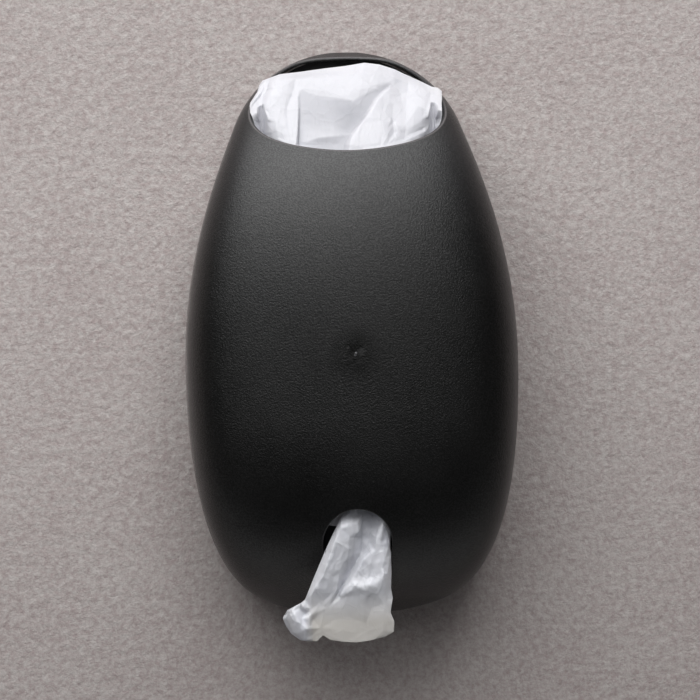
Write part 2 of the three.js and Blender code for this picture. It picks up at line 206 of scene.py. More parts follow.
def halved(held, low, high, times):
    """Closes in on where a test that holds at the low end stops holding at the high end."""
    for _ in range(times):
        middle = (low + high) / 2
        holds = held(middle)
        low = np.where(holds, middle, low)
        high = np.where(holds, high, middle)
    return low, high


# The cover's surface is swept by planes through one level line at the wall, from the mouth's
# plane down to the wall's. Each plane cuts the egg in a closed loop.
FIRST_DEPTH = REAR + 0.6
HINGE = MOUTH_LEVEL - math.tan(MOUTH_TILT) * FIRST_DEPTH


class Sweep:
    def __init__(self, rows, lowered):
        """Rows of planes between the mouth's, lowered by a distance, and the wall's."""
        self.hinge = HINGE - lowered
        z = np.linspace(TOP, -TOP, 40001)
        profile = np.stack([front_at(z), z], 1)
        angle = np.arctan2(self.hinge - profile[:, 1], profile[:, 0] - FIRST_DEPTH)
        start = int(np.argmax((angle > MOUTH_TILT) & (profile[:, 0] > 60)))
        keep = np.arange(len(z)) >= start
        keep &= profile[:, 0] > FIRST_DEPTH
        profile, angle = profile[keep], angle[keep]
        length = length_along(profile)
        self.angles = np.interp(np.linspace(0, length[-1], rows), length, angle)
        self.angles[0] = MOUTH_TILT
        self.angles[-1] = math.pi / 2
        along = np.linspace(0.0, 2.2 * TOP, 6000)[None, :]
        depth = FIRST_DEPTH + along * np.cos(self.angles)[:, None]
        height = self.hinge - along * np.sin(self.angles)[:, None]
        inside = field(0 * depth, depth, height) < 0
        first = along[0, np.argmax(inside, 1)]
        last = along[0, inside.shape[1] - 1 - np.argmax(inside[:, ::-1], 1)]
        self.centre = (first + last) / 2
        self.half = (last - first) / 2
        self.width = side_at(self.hinge - self.centre * np.sin(self.angles))

    def points(self, row, turn):
        """Points on the egg at a row, which may lie between two, and at an angle from the crown."""
        rows = np.arange(len(self.angles))
        tilt = np.interp(row, rows, self.angles)
        centre = np.interp(row, rows, self.centre)
        half = np.interp(row, rows, self.half)
        width = np.interp(row, rows, self.width)

        def place(reach):
            along = centre - half * reach * np.cos(turn)
            depth = FIRST_DEPTH + along * np.cos(tilt)
            return width * reach * np.sin(turn), depth, self.hinge - along * np.sin(tilt)

        centre_line = np.zeros(np.broadcast(row, turn).shape)
        _, reach = halved(lambda r: field(*place(r)) <= 0, centre_line, centre_line + 2.0, 44)
        return np.stack(place(reach), -1)


def slot_distance(points):
    """Distance outside the slot's outline, below zero inside it."""
    x, depth, z = points[..., 0], points[..., 1], points[..., 2]
    middle = SLOT_TOP - SLOT_HALF
    upper = np.hypot(x, z - middle) - SLOT_HALF
    beside = np.where(z > middle, upper, np.abs(x) - SLOT_HALF)
    a, b = beside + SLOT_CORNER, TOE_BAND - depth + SLOT_CORNER
    outside = np.hypot(np.maximum(a, 0), np.maximum(b, 0))
    return outside + np.minimum(np.maximum(a, b), 0) - SLOT_CORNER


def edge_profile(points, normals, onward, outer, inner):
    """Rows of points and directions that round an edge over, from the outer to the inner face."""
    (reach, sink), (reach_in, sink_in) = outer, inner
    rows = []
    for angle in np.linspace(0, math.pi / 2, 7)[1:]:
        s, c = math.sin(angle), math.cos(angle)
        place = points + onward * reach * s - normals * sink * (1 - c)
        rows.append((place, unit(normals * c / sink + onward * s / reach)))
    for angle in np.linspace(0, math.pi / 2, 5):
        s, c = math.sin(angle), math.cos(angle)
        onwards, inwards = reach - reach_in * (1 - c), WALL - sink_in * (1 - s)
        place = points + onward * onwards - normals * inwards
        rows.append((place, unit(onward * c / reach_in - normals * s / sink_in)))
    return rows


def in_use(faces, count):
    """The vertices that some face uses, and the faces numbered by them."""
    used = np.unique(np.concatenate([np.asarray(f) for f in faces]))
    renumber = np.full(count, -1)
    renumber[used] = np.arange(len(used))
    return used, [[int(renumber[v]) for v in f] for f in faces]


class MeshMaker:
    def __init__(self):
        self.points = []
        self.normals = []
        self.painted_highlight = []
        self.faces = []
        self.count = 0

    def add(self, points, normals, painted_highlight=0.0):
        points = np.asarray(points, float).reshape(-1, 3)
        self.points.append(points)
        self.normals.append(np.asarray(normals, float).reshape(-1, 3))
        self.painted_highlight.append(np.full(len(points), painted_highlight))
        start = self.count
        self.count += len(points)
        return np.arange(start, self.count)

    def strip(self, first, second):
        """Quads between two closed rows of vertices."""
        for i in range(len(first)):
            j = (i + 1) % len(first)
            self.faces.append((first[i], first[j], second[j], second[i]))

    def round_over(self, first, rows, last, highlit=()):
        """Strips from one row of vertices over an edge's rows to another, with a painted highlight
        near the first.
        """
        for k, (points, normals) in enumerate(rows):
            ids = self.add(points, normals, highlit[k] if k < len(highlit) else 0.0)
            self.strip(first, ids)
            first = ids
        self.strip(first, last)

    def build(self, name):
        used, faces = in_use(self.faces, self.count)
        points = np.vstack(self.points)[used]
        normals = np.vstack(self.normals)[used]
        # A face whose winding disagrees with its vertices' directions is turned round.
        fixed = []
        for f in faces:
            corner = points[f]
            facing = np.zeros(3)
            for k in range(1, len(f) - 1):
                facing += np.cross(corner[k] - corner[0], corner[k + 1] - corner[0])
            # Points are (across, depth, height), a left-handed order of the axes.
            agree = float(facing @ normals[f].sum(0)) < 0
            fixed.append(f if agree else f[::-1])
        piece = add_mesh(name, points, fixed, normals)
        # Each vertex keeps its share of painted highlight.
        layer = piece.data.attributes.new("painted_highlight", "FLOAT", "POINT")
        layer.data.foreach_set("value", np.concatenate(self.painted_highlight)[used].astype(np.float32))
        return piece


def to_frame(points):
    points = np.asarray(points, float)
    return np.stack([points[..., 0], -points[..., 1], points[..., 2]], -1)


def add_mesh(name, points, faces, normals=None):
    mesh = bpy.data.meshes.new(name)
    mesh.from_pydata((to_frame(points) * MM).tolist(), [], [tuple(f) for f in faces])
    mesh.polygons.foreach_set("use_smooth", np.ones(len(mesh.polygons), bool))
    if normals is not None:
        mesh.normals_split_custom_set_from_vertices(to_frame(normals).tolist())
    mesh.update()
    piece = bpy.data.objects.new(name, mesh)
    scene.collection.objects.link(piece)
    return piece


RIM_LOWERED = 1.4  # room under the mouth's plane for the rim's rounded edge
RIM_OUTER, RIM_INNER = (1.8, 1.3), (0.6, 0.5)  # its reach and sink on both faces
# Painted highlight on the first rows of the mouth's and the slot's rounded edges
RIM_HIGHLIGHT = (0.3, 0.6, 0.12)
SLOT_OUTER, SLOT_INNER = (0.8, 0.9), (0.5, 0.5)
SLOT_HIGHLIGHT = (0.1, 0.1, 0.1)
REAR_OUTER, REAR_INNER = (FIRST_DEPTH - REAR, 0.5), (0.4, 0.4)


def slot_cells(kept, columns):
    """Cells of a grid that lie wholly outside the slot, and the outlines of those it crosses.

    A crossed cell's outline is made of grid places and of the pairs of places between which the
    slot's edge runs. Each pair is listed with its kept and its lost end, unwrapped.
    """
    whole, crossed, crossings = [], [], {}
    for i in range(len(kept) - 1):
        for j in range(columns):
            k = (j + 1) % columns
            corners = [(i, j), (i, k), (i + 1, k), (i + 1, j)]
            places = [(i, j), (i, j + 1), (i + 1, j + 1), (i + 1, j)]
            flags = [kept[c] for c in corners]
            if all(flags):
                whole.append(corners)
                continue
            if not any(flags):
                continue
            shape = []
            for n in range(4):
                m = (n + 1) % 4
                if flags[n]:
                    shape.append(corners[n])
                if flags[n] != flags[m]:
                    key = frozenset((corners[n], corners[m]))
                    ends = (places[n], places[m]) if flags[n] else (places[m], places[n])
                    crossings.setdefault(key, ends)
                    shape.append(key)
            crossed.append(shape)
    return whole, crossed, crossings


def chained(links):
    """Numbers in the order in which the links between neighbours lead from the first one round."""
    neighbours = {}
    for a, b in links:
        neighbours.setdefault(a, []).append(b)
        neighbours.setdefault(b, []).append(a)
    order = [0]
    while True:
        following = [n for n in neighbours[order[-1]] if n not in order[-2:]]
        if not following or following[0] == order[0]:
            return np.array(order)
        order.append(following[0])


def cover_mesh(rows, columns):
    maker = MeshMaker()
    sweep = Sweep(rows, RIM_LOWERED)
    step = 2 * math.pi / columns
    turns = np.arange(columns) * 2 * math.pi / columns
    row_grid, turn_grid = np.meshgrid(np.arange(rows), turns, indexing="ij")
    outer = sweep.points(row_grid.astype(float), turn_grid)
    normals = egg_normals(outer.reshape(-1, 3)).reshape(outer.shape)
    outer_ids = maker.add(outer, normals).reshape(rows, columns)
    inner_ids = maker.add(outer - normals * WALL, -normals).reshape(rows, columns)

    # The slot's edge, set back for its rounding, is found on each side of a cell that it crosses.
    set_back = SLOT_OUTER[0]
    whole, crossed, crossings = slot_cells(slot_distance(outer) - set_back > 0, columns)
    keys = list(crossings)
    kept_end = np.array([crossings[k][0] for k in keys], float)
    lost_end = np.array([crossings[k][1] for k in keys], float)

    def between(share):
        place = kept_end + (lost_end - kept_end) * share[:, None]
        return sweep.points(place[:, 0], place[:, 1] * step)

    low, high = halved(
        lambda share: slot_distance(between(share)) - set_back >= 0,
        np.zeros(len(keys)),
        np.ones(len(keys)),
        23,
    )
    rim = between((low + high) / 2)
    rim_normals = egg_normals(rim)
    rim_outer = maker.add(rim, rim_normals)
    rim_inner = maker.add(rim - rim_normals * WALL, -rim_normals)
    number = {k: n for n, k in enumerate(keys)}
    for corners in whole:
        for grid in (outer_ids, inner_ids):
            maker.faces.append([grid[c] for c in corners])
    for shape in crossed:
        if len(shape) > 2:
            for grid, edge in ((outer_ids, rim_outer), (inner_ids, rim_inner)):
                maker.faces.append([edge[number[s]] if s in number else grid[s] for s in shape])
    pairs = [[number[s] for s in shape if s in number] for shape in crossed]
    order = chained(pair for pair in pairs if len(pair) == 2)

    # Rounded edges of the slot
    at, facing = rim[order], rim_normals[order]
    slopes = [slot_distance(at + shift) - slot_distance(at - shift) for shift in np.eye(3) * 0.05]
    slope = np.stack(slopes, -1)
    onward = -unit(slope - (slope * facing).sum(1, keepdims=True) * facing)
    slot_rows = edge_profile(at, facing, onward, SLOT_OUTER, SLOT_INNER)
    maker.round_over(rim_outer[order], slot_rows, rim_inner[order], SLOT_HIGHLIGHT)

    # Rounded edge of the mouth
    loop, facing = outer[0], normals[0]
    onward = unit(np.cross(np.roll(loop, -1, 0) - np.roll(loop, 1, 0), facing))
    onward *= np.sign((onward * (loop - outer[1])).sum(1))[:, None]
    rim_rows = edge_profile(loop, facing, onward, RIM_OUTER, RIM_INNER)
    maker.round_over(outer_ids[0], rim_rows, inner_ids[0], RIM_HIGHLIGHT)

    # Rounded rear edge, against the wall
    onward = np.zeros_like(loop)
    onward[:, 1] = -1
    rear_rows = edge_profile(outer[-1], normals[-1], onward, REAR_OUTER, REAR_INNER)
    maker.round_over(outer_ids[-1], rear_rows, inner_ids[-1])
    return maker


def rounded_block(maker, low, high):
    """A block with rounded edges, from its lowest to its highest corner."""
    low, high = np.array(low, float), np.array(high, float)
    middle, half = (low + high) / 2, (high - low) / 2
    made = bmesh.new()
    bmesh.ops.create_cube(made, size=2.0)
    for v in made.verts:
        v.co = Vector(middle + half * np.array(v.co))
    bmesh.ops.bevel(
        made, geom=made.edges[:], offset=0.8, segments=2, profile=0.5, affect="EDGES"
    )
    made.normal_update()
    ids = maker.add([v.co[:] for v in made.verts], [v.normal[:] for v in made.verts])
    made.verts.index_update()
    for face in made.faces:
        maker.faces.append(tuple(ids[v.index] for v in face.verts))
    made.free()


def ball(subdivisions):
    """Directions of a ball's vertices, and its faces."""
    made = bmesh.new()
    bmesh.ops.create_icosphere(made, subdivisions=subdivisions, radius=1)
    made.verts.index_update()
    directions = np.array([v.co[:] for v in made.verts])
    faces = [[v.index for v in f.verts] for f in made.faces]
    made.free()
    return directions, faces


maker = cover_mesh(190, 340)

# Catches that hang on the plate's hooks
UPPER_SEAT = TOP - 102.0
LOWER_SEAT = -TOP + 88.0
CATCH_BOTTOM = 0.3  # over the hook's seat
CATCH_TOP = 9.3
CATCH_REAR = 3.4
CATCH_FRONT = 6.9
CATCH_LENGTH = 15.5
CATCH_SUNK = 0.9  # into the cover's wall
for seat in (UPPER_SEAT, LOWER_SEAT):
    bottom, top = seat + CATCH_BOTTOM, seat + CATCH_TOP
    reach = min(float(side_at(bottom)), float(side_at(top))) - CATCH_SUNK
    for sign in (-1, 1):
        left, right = sorted((sign * (reach - CATCH_LENGTH), sign * reach))
        rounded_block(maker, (left, CATCH_REAR, bottom), (right, CATCH_FRONT, top))

# Slanting vestige left by the moulding gate, on the front
GATE = (0.4, -12.2)
GATE_HALF = (0.45, 0.55, 0.95)
GATE_LEAN = math.radians(22)
gate_depth = float(front_at(GATE[1]))
vestige, vestige_faces = ball(3)
wide, deep, tall = (vestige * GATE_HALF).T
vestige_points = np.stack(
    [
        GATE[0] + (wide * math.cos(GATE_LEAN) + tall * math.sin(GATE_LEAN)),
        gate_depth + deep,
        GATE[1] + (tall * math.cos(GATE_LEAN) - wide * math.sin(GATE_LEAN)),
    ],
    1,
)
ids = maker.add(vestige_points, vestige)
maker.faces += [[ids[v] for v in face] for face in vestige_faces]
cover = maker.build("cover_moulding")
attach(cover, "cover")
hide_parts("cover_shell")
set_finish(cover, "cover_plastic")


# Film


def crumple(points, seed, size, height, octaves=3):
    """Flat facets with sharp creases: slanting triangle waves, bent by one another."""
    waves = 5
    rng = np.random.default_rng(seed)
    total = np.zeros(len(points))
    bend = np.zeros_like(points)
    for _ in range(octaves):
        for _ in range(waves):
            direction = unit(rng.normal(size=3))
            warp = unit(rng.normal(size=3))
            phase = rng.uniform(0, 1)
            at = (points + bend) @ direction / (size * rng.uniform(0.75, 1.5)) + phase
            total += height / waves * (np.abs((at % 1.0) * 2 - 1) * 2 - 1)
            bend += warp * size * 0.12 * np.sin(at * 2.1 + phase * 9)[:, None]
        size *= 0.5
        height *= 0.55
    return total


class Relief:
    """A height over a plane, given along fold lines, with flat facets between them."""

    def __init__(self, lines):
        points, heights, edges = [], [], []
        known = {}
        for line in lines:
            before = None
            for x, z, height in line:
                key = (round(x, 1), round(z, 1))
                if key not in known:
                    known[key] = len(points)
                    points.append(Vector((x, z)))
                    heights.append(height)
                here = known[key]
                if before is not None and before != here:
                    edges.append((before, here))
                before = here
        verts, _, faces, origins, _, _ = delaunay_2d_cdt(points, edges, [], 0, 1e-4)
        self.points = np.array([v[:] for v in verts])
        values = [np.mean([heights[o] for o in origin]) if origin else None for origin in origins]
        self.faces = np.array([f for f in faces if len(f) == 3])
        for n, value in enumerate(values):
            if value is None:
                near = {v for f in self.faces if n in f for v in f if values[v] is not None}
                values[n] = float(np.mean([values[v] for v in near])) if near else 0.0
        self.heights = np.array(values, float)

    def __call__(self, x, z):
        total = np.zeros(len(x))
        for face in self.faces:
            (ax, az), (bx, bz), (cx, cz) = self.points[face]
            area = (bx - ax) * (cz - az) - (cx - ax) * (bz - az)
            if abs(area) < 1e-9:
                continue
            u = ((x - ax) * (cz - az) - (cx - ax) * (z - az)) / area
            v = ((bx - ax) * (z - az) - (x - ax) * (bz - az)) / area
            inside = (u >= -1e-6) & (v >= -1e-6) & (u + v <= 1 + 1e-6)
            a, b, c = self.heights[face]
            total = np.where(inside, a + (b - a) * u + (c - a) * v, total)
        return total


def smoothed(points, faces, share=0.5):
    """Each vertex moved towards the mean of its neighbours."""
    pairs = set()
    for f in faces:
        for a, b in zip(f, f[1:] + f[:1]):
            pairs.add((min(a, b), max(a, b)))
    pairs = np.array(sorted(pairs))
    count = np.zeros(len(points))
    np.add.at(count, pairs[:, 0], 1)
    np.add.at(count, pairs[:, 1], 1)
    total = np.zeros_like(points)
    np.add.at(total, pairs[:, 0], points[pairs[:, 1]])
    np.add.at(total, pairs[:, 1], points[pairs[:, 0]])
    mean = total / np.maximum(count, 1)[:, None]
    return points + (mean - points) * share


def vertex_normals(points, faces):
    total = np.zeros_like(points)
    quads = np.array([f if len(f) == 4 else (*f, f[2]) for f in faces])
    a, b, c, d = (points[quads[:, k]] for k in range(4))
    facing = np.cross(c - a, d - b)
    flat = np.linalg.norm(facing, axis=1) < 1e-9
    facing[flat] = np.cross(b - a, c - a)[flat]
    for k in range(4):
        np.add.at(total, quads[:, k], facing)
    return unit(total)


def film_piece(name, points, faces, painted_shade=None):
    """A piece of film, with its painted shade at each point where that varies."""
    piece = add_mesh(name, points, faces)
    if painted_shade is not None:
        layer = piece.data.attributes.new("painted_film_shade", "FLOAT", "POINT")
        layer.data.foreach_set("value", np.asarray(painted_shade, np.float32))
    # Every face is turned outwards.
    made = bmesh.new()
    made.from_mesh(piece.data)
    bmesh.ops.recalc_face_normals(made, faces=made.faces[:])
    made.to_mesh(piece.data)
    made.free()
    return piece


# Bag in the mouth: a dome that carries on the egg's line over the mouth, and a wad below it.
# Its fold lines, as seen from the front: across, height, and how far each point stands out.
TOP_FOLDS = [
    [(-54.2, 129.4, 0), (-53.1, 131, 0), (-49.8, 137.7, 0), (-47, 141.1, 0), (-37.5, 144.4, 0),
     (-26.4, 145.5, 0), (-12.4, 147.2, 0), (-1.3, 148.3, 0), (9.9, 150, 0), (18.2, 148.9, 0),
     (26.6, 146.1, 0), (32.2, 143.3, 0), (40.5, 139.4, 0), (47.2, 136, 0), (51.7, 133.3, 0),
     (53.3, 131, 0), (53.9, 123.8, 0), (51.7, 117.1, 0), (48.3, 113.7, 0), (39.4, 109.3, 0),
     (30.5, 106.5, -0.5), (21.6, 104.3, -0.5), (12.7, 102.6, -0.5), (0.5, 101.8, -1),
     (-3.2, 101.8, -8), (-14.1, 102.2, -9), (-26.2, 104, -8), (-29.4, 104.4, 0), (-40.9, 109.3, 0),
     (-45.3, 111, 0), (-49.8, 113.2, 0), (-54.2, 122.7, 0), (-54.2, 129.4, 0)],
    [(-26.4, 136.6, 2.4), (-27.4, 132.6, 2.2), (-27.4, 126.6, 2), (-27.7, 119.9, 1.6),
     (-28.3, 112.6, 1), (-28.9, 105.9, 0)],
    [(-25.6, 135, 1), (-26.5, 132.1, 0.4), (-26.4, 126.6, -0.8), (-26.7, 119.9, -2.6),
     (-27.2, 112.6, -5), (-27.7, 105.9, -7.2)],
    [(-25.6, 135, 1), (-16.3, 131.6, 0.3), (-6.9, 128.8, 0), (1.5, 128.3, -0.3),
     (8.2, 130.8, -0.6), (15.4, 133.6, -0.8), (24.4, 137.2, 0)],
    [(-26.4, 136.6, 2.4), (-15.2, 134.8, 2.6), (-6.9, 132.6, 2.4), (0.9, 132, 2.2),
     (7.1, 134.8, 2), (14.3, 137.3, 2), (24.4, 139.3, 1.2)],
    [(-27.7, 105.9, -7.2), (-18, 108.5, -6), (-9.6, 109.6, -5.8), (-1.3, 110.4, -6.4)],
    [(-15.2, 119.3, -3), (-4.1, 118.2, -3.6), (3.2, 121.6, -3), (9.9, 127.7, -1.8)],
    [(-21.9, 105.1, -8), (-12.4, 105.4, -8.4), (-5.2, 105.4, -8.4)],
    [(23.2, 134.9, 2.6), (16.6, 128.8, 3), (12.7, 121, 3), (7.6, 115.4, 2.4), (2.6, 108.2, 1.4),
     (0.5, 104.4, 0)],
    [(24.4, 137.2, 0), (19.3, 133.8, -1.2), (13.8, 127.7, -2.6), (9.9, 121.6, -3.8),
     (5.4, 116, -5), (0.4, 109.3, -6.4), (-2.4, 104.7, -7.6)],
    [(-44.2, 137.7, 1.6), (-31.9, 141.1, 2.4), (-20.8, 142.2, 3), (-6.9, 142.7, 3.2),
     (4.3, 143.8, 3), (15.4, 143.8, 2.6), (26.6, 141.1, 2.2), (37.7, 136, 2), (47.2, 131, 1.4)],
    [(-20.5, 138.4, 2.2), (-9, 139.6, 3.2), (-1, 137.2, 2), (6.5, 137.9, 3), (13.2, 141.2, 2)],
    [(-12, 135.4, 3.4), (-4.5, 136.4, 2), (2.2, 134.6, 3.2)],
    [(24.4, 139.3, 1.2), (28.3, 134.9, -0.6), (29.9, 131.6, -0.8), (26, 128.8, 2),
     (24.6, 122.1, 1.2), (25.2, 116, -1.8), (26.2, 111.5, -2)],
    [(26, 128.8, 2), (21.6, 119.3, 2.8), (18.8, 111, 1.8), (16, 104.8, 0)],
    [(34.9, 130.5, 2.6), (31.6, 121, 3.2), (28.3, 114.3, 2.4), (27.4, 109.8, 0.6)],
    [(40, 125.5, 3.2), (34.9, 118.2, 2.4), (29.7, 111, -0.4)],
    [(40, 125.5, 3.2), (45.3, 122.4, 0.4), (46.7, 118.8, -1), (41.1, 112.1, -2.2),
     (33.8, 109.3, -2)],
    [(46.1, 124.9, 2.2), (47.5, 117.1, -1.6), (48.6, 115.4, -1), (50, 119.9, 2), (50.8, 127.1, 2)],
    [(-49.8, 131, 1.2), (-44.2, 131.6, 2.2), (-36.4, 131.6, 3), (-33.1, 122.7, 3), (-35.3, 116, 2),
     (-33.6, 112.1, 0.6)],
    [(-52.6, 122.1, 0.3), (-47.5, 120.4, 2.4), (-44.2, 120.7, 0.6), (-39.7, 115.1, 2.2),
     (-37, 114.3, -0.2), (-35.3, 116, 2)],
    [(-50.9, 118.8, 0), (-47, 116.5, 2), (-43.1, 113.7, 1.8), (-38.1, 108.7, -0.6)],
    [(-41.5, 140.4, 1), (-42.4, 133.4, 2.6), (-40.6, 126.4, 1), (-38.2, 121, 2.4)],
]


def seen_from_camera(points, nominal):
    """Where points appear from the front, scaled as if they all lay at one depth."""
    x, depth, z = points.T
    grow = (CAMERA_DISTANCE - nominal) / (CAMERA_DISTANCE - depth)
    x = x * grow - (depth - nominal) * math.tan(CAMERA_AZIMUTH)
    return x, (z - AIM_Z) * grow + AIM_Z


def true_place(x, depth, z, nominal):
    """The point at a depth that appears at x and z from the front, scaled for a nominal depth."""
    grow = (CAMERA_DISTANCE - nominal) / (CAMERA_DISTANCE - depth)
    x = (x + (depth - nominal) * math.tan(CAMERA_AZIMUTH)) / grow
    return np.stack([x, depth, (z - AIM_Z) / grow + AIM_Z], -1)


FILM_ROOM = WALL + 0.9  # how far inside the cover's surface film stays


def over_mouth(points):
    """Distance in front of the mouth's plane, below zero inside the cover."""
    depth = points[..., 1] - FIRST_DEPTH
    return depth * math.sin(MOUTH_TILT) + (points[..., 2] - HINGE) * math.cos(MOUTH_TILT)


def plane_depth(z):
    """Depth of the mouth's plane at a height."""
    return FIRST_DEPTH + (HINGE - z) / math.tan(MOUTH_TILT)


def surface_depth(x, z, inset=0.0):
    """Depth of the front of the egg, drawn in by an inset, at points seen from the front."""
    low, _ = halved(
        lambda depth: field(x, depth, z, inset) < 0,
        np.zeros(len(x)),
        np.full(len(x), DEEPEST + 1),
        30,
    )
    return np.where(field(x, 0 * x + 0.01, z, inset) < 0, low, 0)


def furthest_forward(x, z):
    """How far forward film may lie that comes up behind the mouth's rim and leans over it."""
    wide = np.linspace(-52, 52, 105)
    heights = np.linspace(100, 134, 137)
    at_x, at_z = np.meshgrid(wide, heights, indexing="ij")
    room = surface_depth(at_x.ravel(), at_z.ravel(), FILM_ROOM).reshape(at_x.shape)
    spare = room - plane_depth(at_z)
    clear = spare > -0.3
    first = np.where(clear.any(1), np.argmax(clear, 1), np.argmax(spare, 1))
    depth = np.interp(x, wide, room[np.arange(len(wide)), first])
    height = np.interp(x, wide, heights[first])
    limit = depth + 0.3 * np.maximum(z - height, 0)
    # At the mouth's ends the film lies over the rim.
    over = np.clip((np.abs(x) - 48.5) / 2.5, 0, 1)
    over_rim = np.minimum(plane_depth(z) + 2.2, 58.2)
    return limit + over * np.maximum(over_rim - limit, 0)


def half_opening(z):
    """Half the mouth's width at a height, in its plane."""
    step = 0.25
    heights = np.linspace(100, 156, 113)
    at_x, at_z = np.meshgrid(np.arange(0, 60 + step, step), heights, indexing="ij")
    inside = field(at_x.ravel(), plane_depth(at_z).ravel(), at_z.ravel(), WALL) < 0
    return np.interp(z, heights, inside.reshape(at_x.shape).sum(0) * step)


def kept_inside(points, which, middle):
    """Draws some points in towards a vertical line until none of them is in the cover's wall."""
    shrink = 0.993
    points = points.copy()
    for _ in range(90):
        out = which & (over_mouth(points) < 0.8) & (field(*points.T, FILM_ROOM) > 0)
        if not out.any():
            break
        points[out, 0] *= shrink
        points[out, 1] = middle + (points[out, 1] - middle) * shrink
    return points


def coons(left, right, first, second, u, v):
    """A grid between four lines, of which left and right lead from the first to the second."""
    u, v = u[None, :, None], v[:, None, None]
    corners = (
        (1 - u) * (1 - v) * first[0]
        + u * (1 - v) * first[-1]
        + (1 - u) * v * second[0]
        + u * v * second[-1]
    )
    sides = (1 - u) * left[:, None] + u * right[:, None]
    return sides + (1 - v) * first[None] + v * second[None] - corners


def at_shares(line, shares):
    """Points at some shares of a line's length."""
    line = np.array(line, float)
    length = length_along(line)
    return np.stack([np.interp(shares * length[-1], length, line[:, k]) for k in range(2)], 1)


def layer_faces(number, other):
    """Faces of two layers given as grids of vertex numbers, the second one facing back."""
    faces = []
    for r in range(len(number) - 1):
        for c in range(number.shape[1] - 1):
            faces.append([number[r, c], number[r, c + 1], number[r + 1, c + 1], number[r + 1, c]])
            back_face = [other[r, c], other[r + 1, c], other[r + 1, c + 1], other[r, c + 1]]
            faces.append(list(dict.fromkeys(back_face)))
    return [[int(v) for v in f] for f in faces]


# Outline of what shows of the bag, as seen from the front
TOP_LEFT = [(-51.4, 113.2), (-52.5, 118), (-53.3, 120.6), (-54.3, 123.2), (-54.6, 127.1),
            (-54.2, 128.8), (-50.1, 134.9), (-49.2, 138.3), (-47, 141.1)]
TOP_UPPER = [(-47, 141.1), (-37.5, 144.4), (-26.4, 145.5), (-12.4, 147.2), (-1.3, 148.3),
             (9.9, 150), (18.2, 148.9), (26.6, 146.1), (32.2, 143.3), (40.5, 139.4), (47.2, 136),
             (50.6, 135.4), (52.9, 133.3)]
TOP_RIGHT = [(49.8, 111.6), (52, 116.5), (52.8, 120.4), (52.6, 126.6), (52.9, 129.4),
             (52.9, 133.3)]
TOP_LOWER = [(-51.4, 113.2), (-47.5, 109.9), (-37.5, 105.5), (-26.4, 102.4), (-15.2, 100.5),
             (-4.1, 99.9), (7.1, 99.9), (18.2, 101), (29.4, 102.7), (37.7, 105.5), (46.1, 109.2),
             (49.8, 111.6)]
